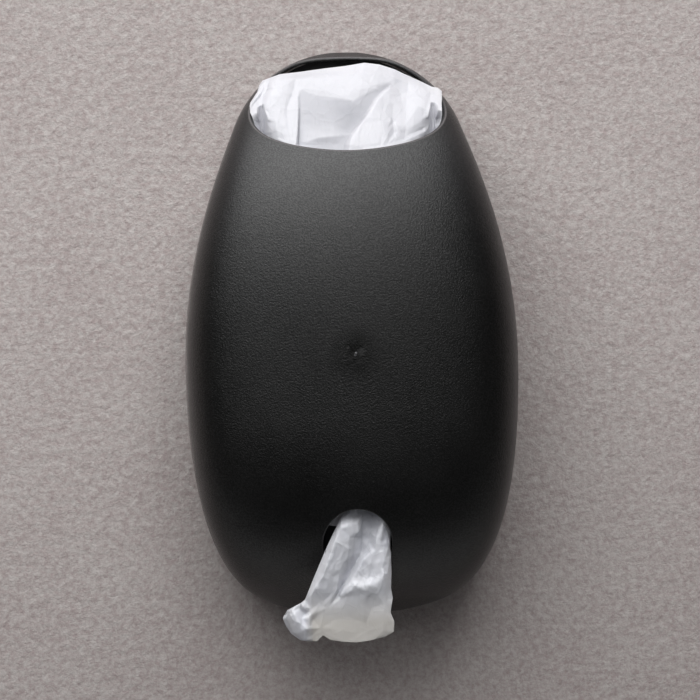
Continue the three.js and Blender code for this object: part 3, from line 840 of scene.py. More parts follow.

# Painted shade on the mouth bag: how much greyer its film is painted where it is a single layer
# over the dark hollow and in its recesses
TOP_PAINTED_SHADE = [
    [(-26.6, 131.6, 0.3), (-24.7, 134.4, 0.3), (-19.7, 132.4, 0.32), (-15.2, 131.3, 0.3),
     (-6.9, 130.5, 0.26), (-1.3, 129.1, 0.34), (2.6, 127.7, 0.42), (8.2, 130.5, 0.38),
     (15.4, 134.1, 0.34), (22.1, 137.2, 0.24), (23.8, 136.3, 0.2), (19.3, 134.4, 0.3),
     (14.9, 130.5, 0.34), (12.1, 126, 0.38), (9, 119.3, 0.42), (4.3, 114.9, 0.4),
     (0.9, 110.4, 0.34), (-3, 103.7, 0.3), (-4.1, 98.2, 0.3), (-26.9, 98.2, 0.2),
     (-26.9, 106.5, 0.26), (-26.4, 118.2, 0.3), (-26.6, 131.6, 0.3)],
    [(-27.8, 132.2, 0), (-25.3, 136.1, 0), (-19.7, 133.5, 0.05), (-15.2, 132.2, 0.08),
     (-6.9, 131.3, 0.05), (-0.2, 130.2, 0.02), (3.2, 129.6, 0), (8.2, 132.4, 0), (15.4, 136.1, 0),
     (22.7, 139.1, 0), (26.3, 136.9, 0.05), (21, 133.8, 0), (16.6, 129.9, 0), (13.8, 125.5, 0),
     (10.7, 118.8, 0), (5.7, 113.8, 0), (2.6, 109.3, 0), (-1.3, 102.1, 0), (-2.4, 97.6, 0),
     (-28.6, 97.6, 0), (-28.1, 106.5, 0.02), (-27.9, 118.2, 0.04), (-27.8, 132.2, 0)],
    [(-27.5, 131, 0.3), (-27.8, 118.2, 0.45), (-27.9, 104.3, 0.5)],
    [(-14.1, 129.1, 0.36), (-6.9, 128.8, 0.44), (1.5, 128.4, 0.5)],
    [(-9.6, 117.1, 0.32), (-4.1, 123.8, 0.48), (1.5, 124.9, 0.56), (2.6, 119.3, 0.56),
     (-1.3, 113.8, 0.46), (-9.6, 117.1, 0.32)],
    [(-26.9, 106.5, 0.05), (-21.9, 107.6, 0.04), (-16.3, 109.3, 0.04), (-6.9, 110.2, 0.1),
     (1.5, 110.6, 0.14)],
    [(-24.1, 105.4, 0.3), (-16.3, 108.2, 0.36), (-9.6, 108.7, 0.42), (-1.3, 109, 0.44),
     (-3.5, 103.2, 0.36), (-14.1, 103.2, 0.36), (-24.1, 105.4, 0.3)],
    [(26, 108.7, 0.02), (27.1, 109.3, 0.16), (32.2, 114, 0.16), (39.7, 124.3, 0.16),
     (42.2, 123.5, 0.2), (45, 121.8, 0.1), (46.4, 117.7, 0.1), (47.2, 112.6, 0.1),
     (41.1, 108.5, 0.16), (32.2, 105.4, 0.12), (27.1, 106, 0.14), (27.1, 109.3, 0.16)],
    [(26.3, 110.4, 0), (31.6, 115.2, 0), (39.4, 125.7, 0), (45.3, 122.9, 0), (47, 118.2, 0),
     (48.3, 113.2, 0)],
    [(18.8, 118.2, 0), (19.9, 117.1, 0.14), (22.7, 116, 0.14), (24.9, 112.1, 0.16),
     (25.8, 108.2, 0.14), (22.7, 106.5, 0.1), (20.7, 112.1, 0.14), (19.9, 117.1, 0.14)],
    [(23.5, 117.1, 0), (25.8, 112.6, 0), (26.9, 108.2, 0)],
    [(22.1, 129.9, 0.02), (24.1, 127.1, 0.12), (24.6, 121, 0.1), (24.6, 116, 0.16),
     (26.3, 110.6, 0.24), (25.5, 115.4, 0), (25.8, 122.7, 0), (24.9, 128.3, 0)],
    [(18.2, 119.3, 0), (21.6, 107.1, 0), (18.8, 102.6, 0)],
    [(26, 144.4, 0.05), (27.1, 137.7, 0.12), (28.8, 133.8, 0.08), (29.9, 139.4, 0.06),
     (27.7, 143.9, 0.04), (26, 144.4, 0.05)],
    [(24.9, 145, 0), (25.8, 138.3, 0), (27.7, 132.7, 0), (30.5, 133.3, 0), (31.9, 139.4, 0),
     (29.4, 145, 0)],
    [(-39.7, 141.9, 0), (-34.2, 143.1, 0.1), (-23.6, 143.3, 0.12), (-12.4, 144.1, 0.1),
     (-1.3, 145, 0)],
    [(-39.7, 143.5, 0), (-26.4, 145.3, 0), (-12.4, 146.4, 0), (-1.3, 146.9, 0)],
    [(-38.6, 140.5, 0), (-26.4, 141.1, 0), (-12.4, 141.6, 0), (-1.3, 142.7, 0)],
    [(-51.4, 119.9, 0), (-49.8, 121, 0.12), (-48.1, 123.5, 0.1), (-47.3, 124.3, 0)],
    [(-50.9, 118.8, 0), (-48.1, 121, 0), (-46.4, 123.2, 0)],
    [(-52.2, 116.5, 0.1), (-50.6, 118.8, 0.16), (-48.7, 116, 0.1), (-47, 112.1, 0.12),
     (-43.1, 110.1, 0.1), (-38.6, 107.6, 0.06)],
    [(-49.8, 119.1, 0), (-46.4, 117.7, 0), (-44.2, 113.2, 0), (-39.7, 110.1, 0),
     (-35.8, 106.5, 0)],
    [(-39.2, 117.7, 0), (-38.1, 115.4, 0.1), (-36.1, 114.5, 0.12), (-34.2, 116, 0.06),
     (-33.1, 118.2, 0)],
    [(-37.5, 118.2, 0), (-35.8, 116.2, 0), (-34.2, 118.8, 0)],
    [(-39.7, 113.8, 0), (-36.4, 112.9, 0), (-33.1, 114.3, 0)],
    [(-59.8, 95.9, 0), (-59.8, 154.4, 0), (60, 154.4, 0), (60, 95.9, 0), (-59.8, 95.9, 0)],
]


MOUTH_DEPTH = 58.0  # nominal depth of what shows in the mouth
BAG_MIDDLE = 47.0  # depth of the bag's middle
BAG_TOP_DEPTH = 36.0
BAG_REAR = 21.8
BAG_FOOT = 68.5  # height of its lower end
MOUTH_LIFT = 1.6  # how far its ends lie over the mouth's plane


def arched(rise, power):
    """A quarter arch: one at nothing, falling to nothing at one."""
    return (1 - np.clip(rise, 0, 1) ** power) ** (1 / power)


def mouth_grid():
    """The mouth bag's grid as (across, height), its rim's row, its shares across and its rise.

    The rise runs from minus one at the foot over nothing at the mouth's rim to one at the top.
    """
    across = 280
    up = 120
    inside = 44
    u = (1 - np.cos(np.linspace(0, math.pi, across))) / 2
    u = 0.5 * u + 0.5 * np.linspace(0, 1, across)
    v = np.sin(np.linspace(0, math.pi / 2, up))
    v = 0.5 * v + 0.5 * np.linspace(0, 1, up)
    lines = [(TOP_LEFT, v), (TOP_RIGHT, v), (TOP_LOWER, u), (TOP_UPPER, u)]
    shown = coons(*[at_shares(line, shares) for line, shares in lines], u, v)
    rim = shown[0]
    sunk = 1 - np.cos(np.linspace(0, math.pi / 2, inside))[:-1]
    sunk = sunk[::-1][:, None]
    foot = np.stack([rim[:, 0] * 0.86, np.full(across, BAG_FOOT)], 1)
    hidden = rim[None] + (foot - rim)[None] * sunk[:, :, None]
    rise = np.concatenate([-np.linspace(1, 0, inside)[:-1], v])[:, None]
    return np.vstack([hidden, shown]), rim, u, rise


def mouth_layers(x, z, rim, u, rise):
    """Depths of the mouth bag's front and rear layer."""
    # The front leans back evenly, and is fuller towards the ends.
    front_rim = furthest_forward(rim[:, 0], 0 * rim[:, 1]) - 0.2
    power = 1.12 + 0.6 * np.clip((np.abs(2 * u - 1) - 0.6) / 0.35, 0, 1)[None]
    front = BAG_TOP_DEPTH + (front_rim[None] - BAG_TOP_DEPTH) * arched(rise, power)
    front = BAG_MIDDLE + (front - BAG_MIDDLE) * arched(-rise, 4)
    back = BAG_TOP_DEPTH - (BAG_TOP_DEPTH - BAG_REAR) * arched(rise, 5)
    back = BAG_MIDDLE + (back - BAG_MIDDLE) * arched(-rise, 4)
    # At the mouth's ends the front lies over the rim.
    lifted = plane_depth(z) + MOUTH_LIFT
    over_edge = np.clip((np.abs(x) - half_opening(z)) / 4 + 1.3, 0, 1)
    over_edge = over_edge * np.clip((z - 118) / 5, 0, 1)
    front = front + over_edge * np.maximum(lifted - front, 0)
    # Both layers meet along the sides, just in front of the mouth's plane.
    seam = [np.clip(lifted[:, k], BAG_TOP_DEPTH, MOUTH_DEPTH)[:, None] for k in (0, -1)]
    seam = seam[0] * (1 - u) + seam[1] * u
    ends = (1 - np.abs(2 * u - 1) ** 12) ** 0.5
    return [seam + (depth - seam) * ends[None] for depth in (front, back)]


def top_bag():
    plan, rim, u, rise = mouth_grid()
    x, z = plan[..., 0], plan[..., 1]
    rows, across = x.shape
    sheets = []
    for depth in mouth_layers(x, z, rim, u, rise):
        sheets.append(true_place(x.ravel(), depth.ravel(), z.ravel(), MOUTH_DEPTH))
    points = np.vstack(sheets)
    thickness = np.clip((sheets[0][:, 1] - sheets[1][:, 1]) / 12, 0, 1)
    thickness = np.concatenate([thickness, thickness])
    rising = np.broadcast_to(rise, (rows, across)).ravel()
    rising = np.concatenate([rising, rising])
    number = np.arange(rows * across).reshape(rows, across)
    other = number + rows * across
    for edge in (np.s_[0], np.s_[-1], np.s_[:, 0], np.s_[:, -1]):
        other[edge] = number[edge]
    used, faces = in_use(layer_faces(number, other), len(points))
    points, thickness, rising = points[used], thickness[used], rising[used]
    front_side = used < rows * across

    outward = vertex_normals(points, faces)
    outward *= np.sign((outward * (points - [0, BAG_MIDDLE, 110.0])).sum(1).mean())
    flat_x, flat_z = seen_from_camera(points, MOUTH_DEPTH)
    relief = Relief(TOP_FOLDS)(flat_x, np.maximum(flat_z, 102.3))
    height = over_mouth(points)
    relief = np.where(relief > 0, relief * np.clip((height + 0.5) / 7, 0.1, 1), relief)
    in_sight = np.clip(1 + rising * 4, 0, 1)
    inward = np.minimum(flat_x + 54.0, 53.0 - flat_x)
    relief *= 0.6 * in_sight * front_side * np.clip(thickness * 3, 0, 1) * np.clip(inward / 8, 0, 1)
    rough = crumple(points, 5, 24.0, 3.2)
    fine = crumple(points, 11, 13.0, 0.9)
    # In sight the film's outline stays as it is, and only its depth changes.
    moved = points.copy()
    moved[:, 1] += relief + np.where(front_side, fine * 0.3, rough + fine) * in_sight * thickness
    moved += outward * ((rough + fine - 1.5) * (1 - in_sight))[:, None]
    moved = smoothed(moved, faces, 0.4)
    fronts = front_side & (rising >= 0)
    limit = furthest_forward(moved[:, 0], moved[:, 2])
    moved[fronts, 1] = np.minimum(moved[fronts, 1], limit[fronts])
    moved[:, 1] = np.maximum(moved[:, 1], BAG_REAR - 0.9)
    moved = kept_inside(moved, ~fronts, BAG_MIDDLE - 1)
    # Painted shade on the film's front
    painted_shade = 0.06 + Relief(TOP_PAINTED_SHADE)(flat_x, flat_z) * fronts
    return film_piece("bag_in_mouth", moved, faces, painted_shade)


mouth_bag = top_bag()
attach(mouth_bag, "top_bag")
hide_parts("mouth_bag")
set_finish(mouth_bag, "bag_film")


# Bags stored in the cover, and the gathered part of the one that is being pulled out
WAD_ROOM = 5.5  # how far inside the cover's surface they stay


def wad(name, low, high, seed, power=4.0, size=26.0, height=4.0, stretch=(1, 1, 1)):
    """A crumpled lump of film that fills the room between two corners, inside the cover."""
    direction, faces = ball(5)
    low, high = np.array(low, float), np.array(high, float)
    middle, half = (low + high) / 2, (high - low) / 2
    reach = (np.abs(direction) ** power).sum(1) ** (-1 / power)
    shape = direction * reach[:, None]
    bumps = crumple(shape * half * stretch, seed, size, height)
    grow = 1 - (height * 0.9 - bumps) / np.linalg.norm(shape * half, axis=1)
    points = middle + shape * half * grow[:, None]
    share = np.ones(len(points))
    for _ in range(40):
        at = middle + (points - middle) * share[:, None]
        share = np.where(field(*at.T, WAD_ROOM) > 0, share * 0.985, share)
    points = middle + (points - middle) * share[:, None]
    return film_piece(name, smoothed(points, faces), faces)


STORED = {
    "stored_bag_upper": ((-86, 12.5, 24.2), (86, 99, 66.6), 21),
    "stored_bag_middle": ((-89, 12.5, -22.2), (89, 101, 22.0), 22),
    "stored_bag_lower_left": ((-89, 12.5, -148.5), (-19.2, 100, -24.4), 23),
    "stored_bag_lower_right": ((19.2, 12.5, -148.5), (89, 100, -24.4), 24),
}
for node, (low, high, seed) in STORED.items():
    piece = wad(node + "_film", low, high, seed)
    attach(piece, "cover")
    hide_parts(node)
    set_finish(piece, "bag_film")

neck = wad(
    "pulled_bag_neck", (-8, 46, -146), (17.2, 84, -66), 31, power=3.0, size=11, height=5.0,
    stretch=(1, 1, 0.3),
)


def fold_beside_neck():
    """A flat fold of the same bag, seen at the slot's upper left."""
    across, down = 26, 40
    u, v = np.linspace(0, 1, across), np.linspace(0, 1, down)
    left = at_shares([(-5.5, -70), (-11.5, -77), (-15.6, -88), (-16.2, -100), (-15.2, -106.4)], v)
    right = at_shares([(0, -70), (-1, -108)], v)
    upper = at_shares([(-5.5, -70), (0, -70)], u)
    lower = at_shares([(-15.2, -106.4), (-9, -107.2), (-1, -108)], u)
    plan = coons(left, right, upper, lower, u, v).reshape(-1, 2)
    x, z = plan.T
    # It bends back into the neck above, and waves a little.
    front = 85.5 + 0.8 * np.sin(x * 0.35) + 0.05 * (z + 107) - 0.02 * np.maximum(z + 92, 0) ** 2
    front = front + crumple(np.stack([x, front, z], 1), 17, 12.0, 0.5)
    points = np.vstack([np.stack([x, front, z], 1), np.stack([x, front - 0.5, z], 1)])
    count = across * down
    number = np.arange(count).reshape(down, across)
    faces = layer_faces(number, number + count)
    sides = [number[0], number[1:, -1], number[-1, -2::-1], number[-2:0:-1, 0]]
    border = np.concatenate(sides).tolist()
    for a, b in zip(border, border[1:] + border[:1]):
        faces.append([a, b, count + b, count + a])
    return film_piece("neck_fold", points, faces)


extra = fold_beside_neck()
made = bmesh.new()
made.from_mesh(neck.data)
made.from_mesh(extra.data)
made.to_mesh(neck.data)
made.free()
bpy.data.objects.remove(extra)
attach(neck, "hanging_bag")
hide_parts("pulled_bag")
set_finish(neck, "bag_film")

# Tail of the pulled bag: film that comes out of the slot, lies over the cover and hangs to the
# left. Its fold lines are given like the mouth bag's.
TAIL_FOLDS = [
    [(-4.6, -92.9, -3), (-8.4, -100.5, -2.5), (-12.8, -109.2, -2), (-17.1, -117.9, -1),
     (-21.5, -127.7, 0), (-25.8, -137.5, 0), (-29.6, -146.7, 0), (-31.8, -148.3, 1),
     (-38.9, -152.1, 0), (-41.3, -156.5, -1), (-39.4, -161.4, -1), (-36.7, -165.7, -1),
     (-31.8, -169.2, -0.4), (-23.6, -169.9, 0), (-20.1, -166.5, 0), (-16, -169.2, 0.2),
     (-9.5, -170.3, 0.4), (-1.4, -170.9, 0.4), (6.8, -169.8, 0.4), (14.4, -167.9, 0.4),
     (19, -165.4, 0), (19.4, -159.7, 0), (17.4, -154.8, 0), (18.2, -149.4, 0), (18.8, -146.7, -1),
     (17.9, -141.3, 0), (18.4, -132, -1), (18.2, -122.3, -2), (18.4, -114.1, -3),
     (18.4, -110.3, -3.5), (18.4, -92.9, -3), (-4.6, -92.9, -3)],
    [(-0.8, -92.9, -2), (-5.7, -102.2, -1), (-9.3, -107.6, 2), (-12.8, -115.2, 3.5),
     (-16.3, -124.4, 4.5), (-19.3, -133.1, 4.5), (-24.2, -140.2, 4), (-26.1, -144, 3.5),
     (-26.6, -152.1, 2)],
    [(-9.3, -107.6, 2), (-6.3, -106.9, 2.5), (0, -105.3, 0), (0.8, -110, 0.5),
     (-4.6, -112.5, 2.5)],
    [(-4.6, -112.5, 2.5), (-5.7, -123.3, 2), (-9.5, -128.8, 3), (-11, -135.8, 3),
     (-12, -141.8, 3)],
    [(3, -92.9, -4.5), (3, -100.5, -5), (2.7, -112.5, -5), (1.6, -122.3, -4), (-1.4, -127.2, -3.5),
     (-5.7, -134.8, -3), (-9.5, -140.2, -2), (-11, -143.2, -0.5)],
    [(8.9, -92.9, -5), (8.4, -100.5, -5.5), (7.3, -108.7, -5.5), (6, -115.7, -4.5),
     (4.1, -120.1, -3.5)],
    [(14.9, -99.5, -2), (14.4, -105.4, -1), (11.4, -111.4, 0), (10, -115.2, 0.8),
     (9.5, -120.1, 1.4), (7.3, -121.2, 1.7), (3, -125, 1.7), (-0.8, -131.5, 2),
     (-4.1, -136.9, 2.5), (-7.9, -141.3, 2.8), (-10.1, -144.5, 2.6)],
    [(-4.1, -136.9, 2.5), (0.3, -136.9, 3), (2.4, -135.2, 2.2), (4.1, -135.8, 3),
     (6.2, -134.6, 2.4), (8.4, -135.3, 3.2), (11.7, -133.1, 3.2), (12.7, -129.9, 2.8)],
    [(-10.1, -144.5, 2.6), (-6.3, -143.4, 4), (-4.1, -141.8, 4.4), (-0.8, -140.2, 4.8),
     (1.3, -141.3, 4.8), (4.6, -142.2, 5), (7.3, -142.4, 5), (10, -140.2, 5), (11.7, -136.9, 4.8),
     (13.8, -133.1, 4.2)],
    [(-4.1, -136.9, 3.4), (-2.2, -139, 5.4), (-0.8, -140.2, 5.2)],
    [(0.3, -136.9, 4.6), (2.8, -139.4, 4.4), (1.3, -141.3, 5.6)],
    [(4.1, -135.8, 4.8), (5.8, -139, 6.2), (7.3, -142.4, 6)],
    [(8.4, -135.3, 5), (9.2, -138, 4.6), (11.7, -136.9, 5.4)],
    [(-10.1, -146.2, 1.8), (-5.7, -145.2, 3), (-0.8, -142.4, 4), (1.3, -143.3, 4),
     (4.6, -144.2, 4.2), (7.9, -144.4, 4.2), (11.4, -142.2, 4.2), (14.1, -137.7, 3.8)],
    [(13.3, -111.4, 0), (15.7, -114.7, -0.5), (16.3, -119.5, 1), (12.2, -120.9, 1.8),
     (10, -120.1, 1.6)],
    [(12.2, -120.9, 1.8), (10, -127.2, 2.2), (6.8, -131, 2.4), (4.1, -135.8, 3)],
    [(16.3, -119.5, 1), (14.4, -125.5, 2.6), (12.7, -129.9, 2.8)],
    [(17.1, -127.7, 1), (16, -133.1, 2), (15.5, -141.3, 2.5), (13.8, -149.4, 2.5),
     (13.6, -154.8, 3), (13.2, -164.6, 2.5), (13.3, -167.9, 1)],
    [(1.3, -145.1, 3.6), (0.3, -149.4, 3), (-9.5, -150.8, 2), (-17.1, -151.6, 2.2),
     (-21.5, -148.9, 1.5)],
    [(6.8, -152.1, 0.5), (4.1, -160.3, 0.2), (-1.4, -165.7, 0.3)],
    [(-4.1, -157.6, 0), (-12.2, -157.6, 1), (-15, -163, 1.5), (-21.5, -162.5, 1),
     (-25.8, -158.1, 0.8)],
    [(-31.8, -148.3, 1), (-31.2, -150.2, 4), (-32.8, -152.1, 1), (-29.6, -154.8, 0.5),
     (-26.6, -152.1, 2)],
    [(-37.8, -152.4, 2.5), (-36.7, -154.8, 4), (-34.5, -158.7, 4.5), (-31.8, -157, 2),
     (-28.5, -156.5, 4.5), (-26.9, -154.8, 3)],
    [(-36.7, -154.8, 4), (-35.9, -161.9, 3), (-32.1, -163.6, 4.5), (-27.4, -162.5, 4),
     (-26.9, -154.8, 3)],
    [(-40.5, -157, 1), (-38.6, -161.4, 1), (-35.9, -165.7, 0.8), (-30.7, -168.4, 0.8),
     (-25.8, -165.7, 1.2)],
]
TAIL_LEFT = [(3, -80), (-4.6, -92.9), (-8.4, -100.5), (-12.8, -109.2), (-17.1, -117.9),
             (-21.5, -127.7), (-25.8, -137.5), (-29.6, -146.7), (-31.8, -148.3), (-38.9, -152.1),
             (-41.3, -156.5)]
TAIL_BOTTOM = [(-41.3, -156.5), (-39.4, -161.4), (-36.7, -165.7), (-31.8, -169.2), (-23.6, -169.9),
               (-20.1, -166.5), (-16, -169.2), (-9.5, -170.3), (-1.4, -170.9), (6.8, -169.8),
               (14.4, -167.9), (19, -165.4)]
TAIL_RIGHT = [(15, -80), (17.6, -92.9), (18.2, -110.3), (18.2, -114.1), (18.2, -122.3),
              (18.4, -132), (17.9, -141.3), (18.8, -146.7), (18.2, -149.4), (17.4, -154.8),
              (19.4, -159.7), (19, -165.4)]

# Painted shade on the tail: how much greyer its film is painted where few layers lie over the dark
# slot and in the cover's shade
TAIL_PAINTED_SHADE = [
    [(-60, -178, 0.1), (-60, -107, 0.1), (-12, -107, 0.1), (-6, -104.6, 0.1), (1.2, -103.6, 0.1),
     (1.6, -110, 0.1), (0.6, -117, 0.1), (-5, -124.5, 0.1), (-9.4, -132.6, 0.1),
     (-11.4, -141.5, 0.08), (-3.2, -135, 0.1), (3, -130, 0.08), (7.4, -123.4, 0.1),
     (10.4, -117.6, 0.1), (12, -110.4, 0.1), (13.6, -106.6, 0.08), (16.4, -99, 0.1),
     (30, -99, 0.1), (30, -178, 0.1), (-60, -178, 0.1)],
    [(-9, -103.2, 0.5), (-4.4, -102.6, 0.5), (2.4, -102.4, 0.5), (3, -110, 0.4), (1.8, -118, 0.32),
     (-3.6, -125.2, 0.32), (-8, -133, 0.32), (-10, -139.6, 0.28), (-3.8, -133.4, 0.28),
     (1.4, -128, 0.28), (5.8, -121.6, 0.32), (9, -115.4, 0.28), (10.8, -108.4, 0.4),
     (12.6, -102, 0.4), (15.2, -97, 0.5), (19, -92, 0.6), (19, -80, 0.66), (-10, -80, 0.66),
     (-9, -103.2, 0.5)],
    [(13, -109.6, 0.1), (14.4, -110.4, 0.6), (17.2, -112, 0.7), (17.4, -118.4, 0.64),
     (13.8, -119.6, 0.32), (12.8, -116, 0.6), (14.4, -110.4, 0.6)],
    [(-38, -154, 0.1), (-33, -152.4, 0.1), (-29, -157, 0), (-31, -162, 0), (-36, -161, 0.1),
     (-38, -154, 0.1)],
    [(12.4, -110.4, 0.1), (11.8, -116.4, 0.1), (12.6, -120.6, 0.08), (17.6, -119.8, 0.08)],
    [(-9.4, -144.2, 0.12), (-4, -141, 0), (0.4, -139.4, 0), (5, -141, 0), (9.6, -139, 0),
     (12, -134, 0), (8.4, -133.6, 0.06), (3.8, -134.4, 0), (-1, -135.4, 0.04),
     (-5.6, -139.6, 0.06), (-9.4, -144.2, 0.12)],
    [(-6, -105.6, 0.1), (-9.8, -108.2, 0), (-12.4, -114, 0.12), (-7, -110.2, 0.1),
     (-2.2, -109.4, 0), (0.4, -106.4, 0.05), (-6, -105.6, 0.1)],
]

# The tail's depth at some heights, on the whole
TAIL_PROFILE = [(-172, 90), (-150, 90.6), (-140, 91.6), (-130, 92.6), (-119, 93.4), (-112, 93.6),
                (-104, 94.4), (-97, 95.5), (-90, 91), (-80, 81)]
SLOT_SHELF = -121  # above this the tail passes behind the slot's edge, and below it in front


def tail():
    across = 120
    down = 140
    u, v = np.linspace(0, 1, across), np.linspace(0, 1, down)
    upper_edge = [TAIL_LEFT[0], TAIL_RIGHT[0]]
    lines = [(TAIL_LEFT, v), (TAIL_RIGHT, v), (upper_edge, u), (TAIL_BOTTOM, u)]
    plan = coons(*[at_shares(line, shares) for line, shares in lines], u, v).reshape(-1, 2)
    x, z = plan.T
    base = np.interp(z, *zip(*TAIL_PROFILE))
    # The bag's flat end part, low down and to the right, is hardly crumpled.
    calm = 1 - 0.85 * np.clip((-z - 144) / 6, 0, 1) * np.clip((x + 30) / 8, 0, 1)
    relief = Relief(TAIL_FOLDS)(x, np.minimum(z, -93.1))
    relief = 2.6 + (relief - 2.6) * (0.4 + 0.6 * calm)
    front = base + relief
    flat = np.stack([x, front, z], 1)
    front = front + crumple(flat, 3, 14.0, 0.5) * calm + crumple(flat, 4, 5.0, 0.22, 2) * calm
    beside_slot = slot_distance(np.stack([x, front, z], 1)) > -1.1
    face = surface_depth(x, z)
    cover_face = np.where(beside_slot & (z < SLOT_SHELF), face, 0)
    behind = np.minimum(front, face - WALL - 1.2)
    front = np.where(beside_slot & (z >= SLOT_SHELF), behind, front)
    edge = np.tile(np.minimum(u, 1 - u), down)
    gap = 0.35 + 3.0 * np.clip(edge / 0.12, 0, 1) ** 0.6
    lowest = np.clip((-z - 150) / 20, 0, 1)
    gap = gap * (0.5 + 0.9 * lowest)
    rear = front - gap + 0.5 * crumple(flat + 40, 8, 14.0, 1.2)
    rear = np.maximum(rear, cover_face + 0.7)
    front = np.maximum(front, rear + 0.3)
    n = across * down
    number = np.arange(n).reshape(down, across)
    faces = layer_faces(number, number + n)
    ends = number[:, [0, -1]].tolist()
    for (a, c), (b, d) in zip(ends, ends[1:]):
        faces.append([a, b, n + b, n + a])
        faces.append([c, n + c, n + d, d])
    # The bag's open end: each layer's edge wanders a little on its own.
    points = np.vstack([np.stack([x, front, z], 1), np.stack([x, rear, z], 1)])
    corner = np.clip((-x - 24) / 10, 0, 1) * np.clip((-z - 148) / 8, 0, 1)
    points[n:, 2] -= 0.5 * np.sin(x * 0.21 + 1) * np.clip((-z - 160) / 8, 0, 1)
    points[n:, 0] -= 0.9 * corner
    points[:n, 0] += 0.9 * corner
    points[:n, 2] += 0.5 * corner
    points = smoothed(points, faces)
    # Painted shade on the tail
    painted_shade = 0.75 * Relief(TAIL_PAINTED_SHADE)(x, z)
    return film_piece("pulled_bag_tail", points, faces, np.concatenate([painted_shade, painted_shade]))


hanging = tail()
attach(hanging, "hanging_bag")
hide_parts("pulled_bag")
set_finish(hanging, "bag_film")

# Materials


def new_material(name):
    material = bpy.data.materials.new(name)
    material.use_nodes = True
    tree = material.node_tree
    tree.nodes.clear()
    out = tree.nodes.new("ShaderNodeOutputMaterial")
    shader = tree.nodes.new("ShaderNodeBsdfPrincipled")
    tree.links.new(shader.outputs["BSDF"], out.inputs["Surface"])
    return material, tree, shader


def noise(tree, where, scale, detail=2.0, roughness=0.5, stretch=(1, 1, 1)):
    mapping = tree.nodes.new("ShaderNodeMapping")
    mapping.inputs["Scale"].default_value = stretch
    tree.links.new(where, mapping.inputs["Vector"])
    texture = tree.nodes.new("ShaderNodeTexNoise")
    texture.inputs["Scale"].default_value = scale
    texture.inputs["Detail"].default_value = detail
    texture.inputs["Roughness"].default_value = roughness
    tree.links.new(mapping.outputs["Vector"], texture.inputs["Vector"])
    return texture.outputs["Fac"]


def ramp(tree, value, stops):
    """A ramp of greys, with its stops given as (place, grey)."""
    node = tree.nodes.new("ShaderNodeValToRGB")
    elements = node.color_ramp.elements
    while len(elements) < len(stops):
        elements.new(0.5)
    for element, (place, grey) in zip(elements, stops):
        element.position = place
        element.color = (grey, grey, grey, 1.0)
    tree.links.new(value, node.inputs["Fac"])
    return node.outputs["Color"]


def math_node(tree, operation, a, b=None, clamp=False):
    node = tree.nodes.new("ShaderNodeMath")
    node.operation = operation
    node.use_clamp = clamp
    for socket, value in zip(node.inputs, (a, b)):
        if value is None:
            continue
        if isinstance(value, (int, float)):
            socket.default_value = value
        else:
            tree.links.new(value, socket)
    return node.outputs["Value"]


def times(tree, a, b, clamp=False):
    return math_node(tree, "MULTIPLY", a, b, clamp)


def plus(tree, a, b, clamp=False):
    return math_node(tree, "ADD", a, b, clamp)


def mix(tree, share, a, b, blend="MIX"):
    node = tree.nodes.new("ShaderNodeMix")
    node.data_type = "RGBA"
    node.blend_type = blend
    # These are the sockets of a colour mix. Those of the other kinds have the same names.
    for socket, value in zip((node.inputs[0], node.inputs[6], node.inputs[7]), (share, a, b)):
        if isinstance(value, (int, float)):
            socket.default_value = value
        elif isinstance(value, tuple):
            socket.default_value = (*value, 1.0)
        else:
            tree.links.new(value, socket)
    return node.outputs[2]


def bump(tree, height, strength, distance, before=None):
    node = tree.nodes.new("ShaderNodeBump")
    node.inputs["Strength"].default_value = strength
    node.inputs["Distance"].default_value = distance
    tree.links.new(height, node.inputs["Height"])
    if before is not None:
        tree.links.new(before, node.inputs["Normal"])
    return node.outputs["Normal"]


def coordinates(tree):
    return tree.nodes.new("ShaderNodeTexCoord").outputs["Object"]


def separate(tree, vector):
    node = tree.nodes.new("ShaderNodeSeparateXYZ")
    tree.links.new(vector, node.inputs["Vector"])
    return node.outputs


def near_point(tree, where, point, reach):
    """One at a point (in metres), falling to nothing at a distance."""
    node = tree.nodes.new("ShaderNodeVectorMath")
    node.operation = "DISTANCE"
    node.inputs[1].default_value = point
    tree.links.new(where, node.inputs[0])
    share = math_node(tree, "DIVIDE", node.outputs["Value"], reach)
    return math_node(tree, "SUBTRACT", 1.0, share, True)


def point_value(tree, name):
    """A value given at each vertex of the mesh, nothing where the mesh has none."""
    node = tree.nodes.new("ShaderNodeAttribute")
    node.attribute_name = name
    return node.outputs["Fac"]


def gate_marks(tree, at, gate, grains, colour):
    """Gloss and colour round the moulding gate: dull, with a pale vestige and two faint marks."""
    x, y, z = gate
    wobble = math_node(tree, "MULTIPLY_ADD", noise(tree, at, 130, 3.0, 0.6), 1.6)
    wobble.node.inputs[2].default_value = -0.2
    dull = times(tree, near_point(tree, at, gate, 0.017), wobble, True)
    level = ramp(tree, dull, [(0.0, 0.56), (0.55, 0.22)])
    level = times(tree, level, ramp(tree, grains, [(0.60, 0.78), (0.82, 1.16)]))
    ends = [(x + side * 0.00022, y, z + side * 0.00055) for side in (-1, 1)]
    pale = [near_point(tree, at, end, 0.00085) for end in ends]
    pale = times(tree, math_node(tree, "MAXIMUM", *pale), 1.8, True)
    colour = mix(tree, pale, colour, (0.16, 0.16, 0.165))
    scuff = near_point(tree, at, (x + 0.0032, y, z + 0.001), 0.0028)
    scuff = times(tree, scuff, noise(tree, at, 700, 2.0, 0.6), True)
    colour = mix(tree, scuff, colour, (0.07, 0.07, 0.07))
    spot = near_point(tree, at, (x - 0.0041, y, z + 0.0034), 0.0009)
    return level, mix(tree, spot, colour, (0.05, 0.05, 0.05))


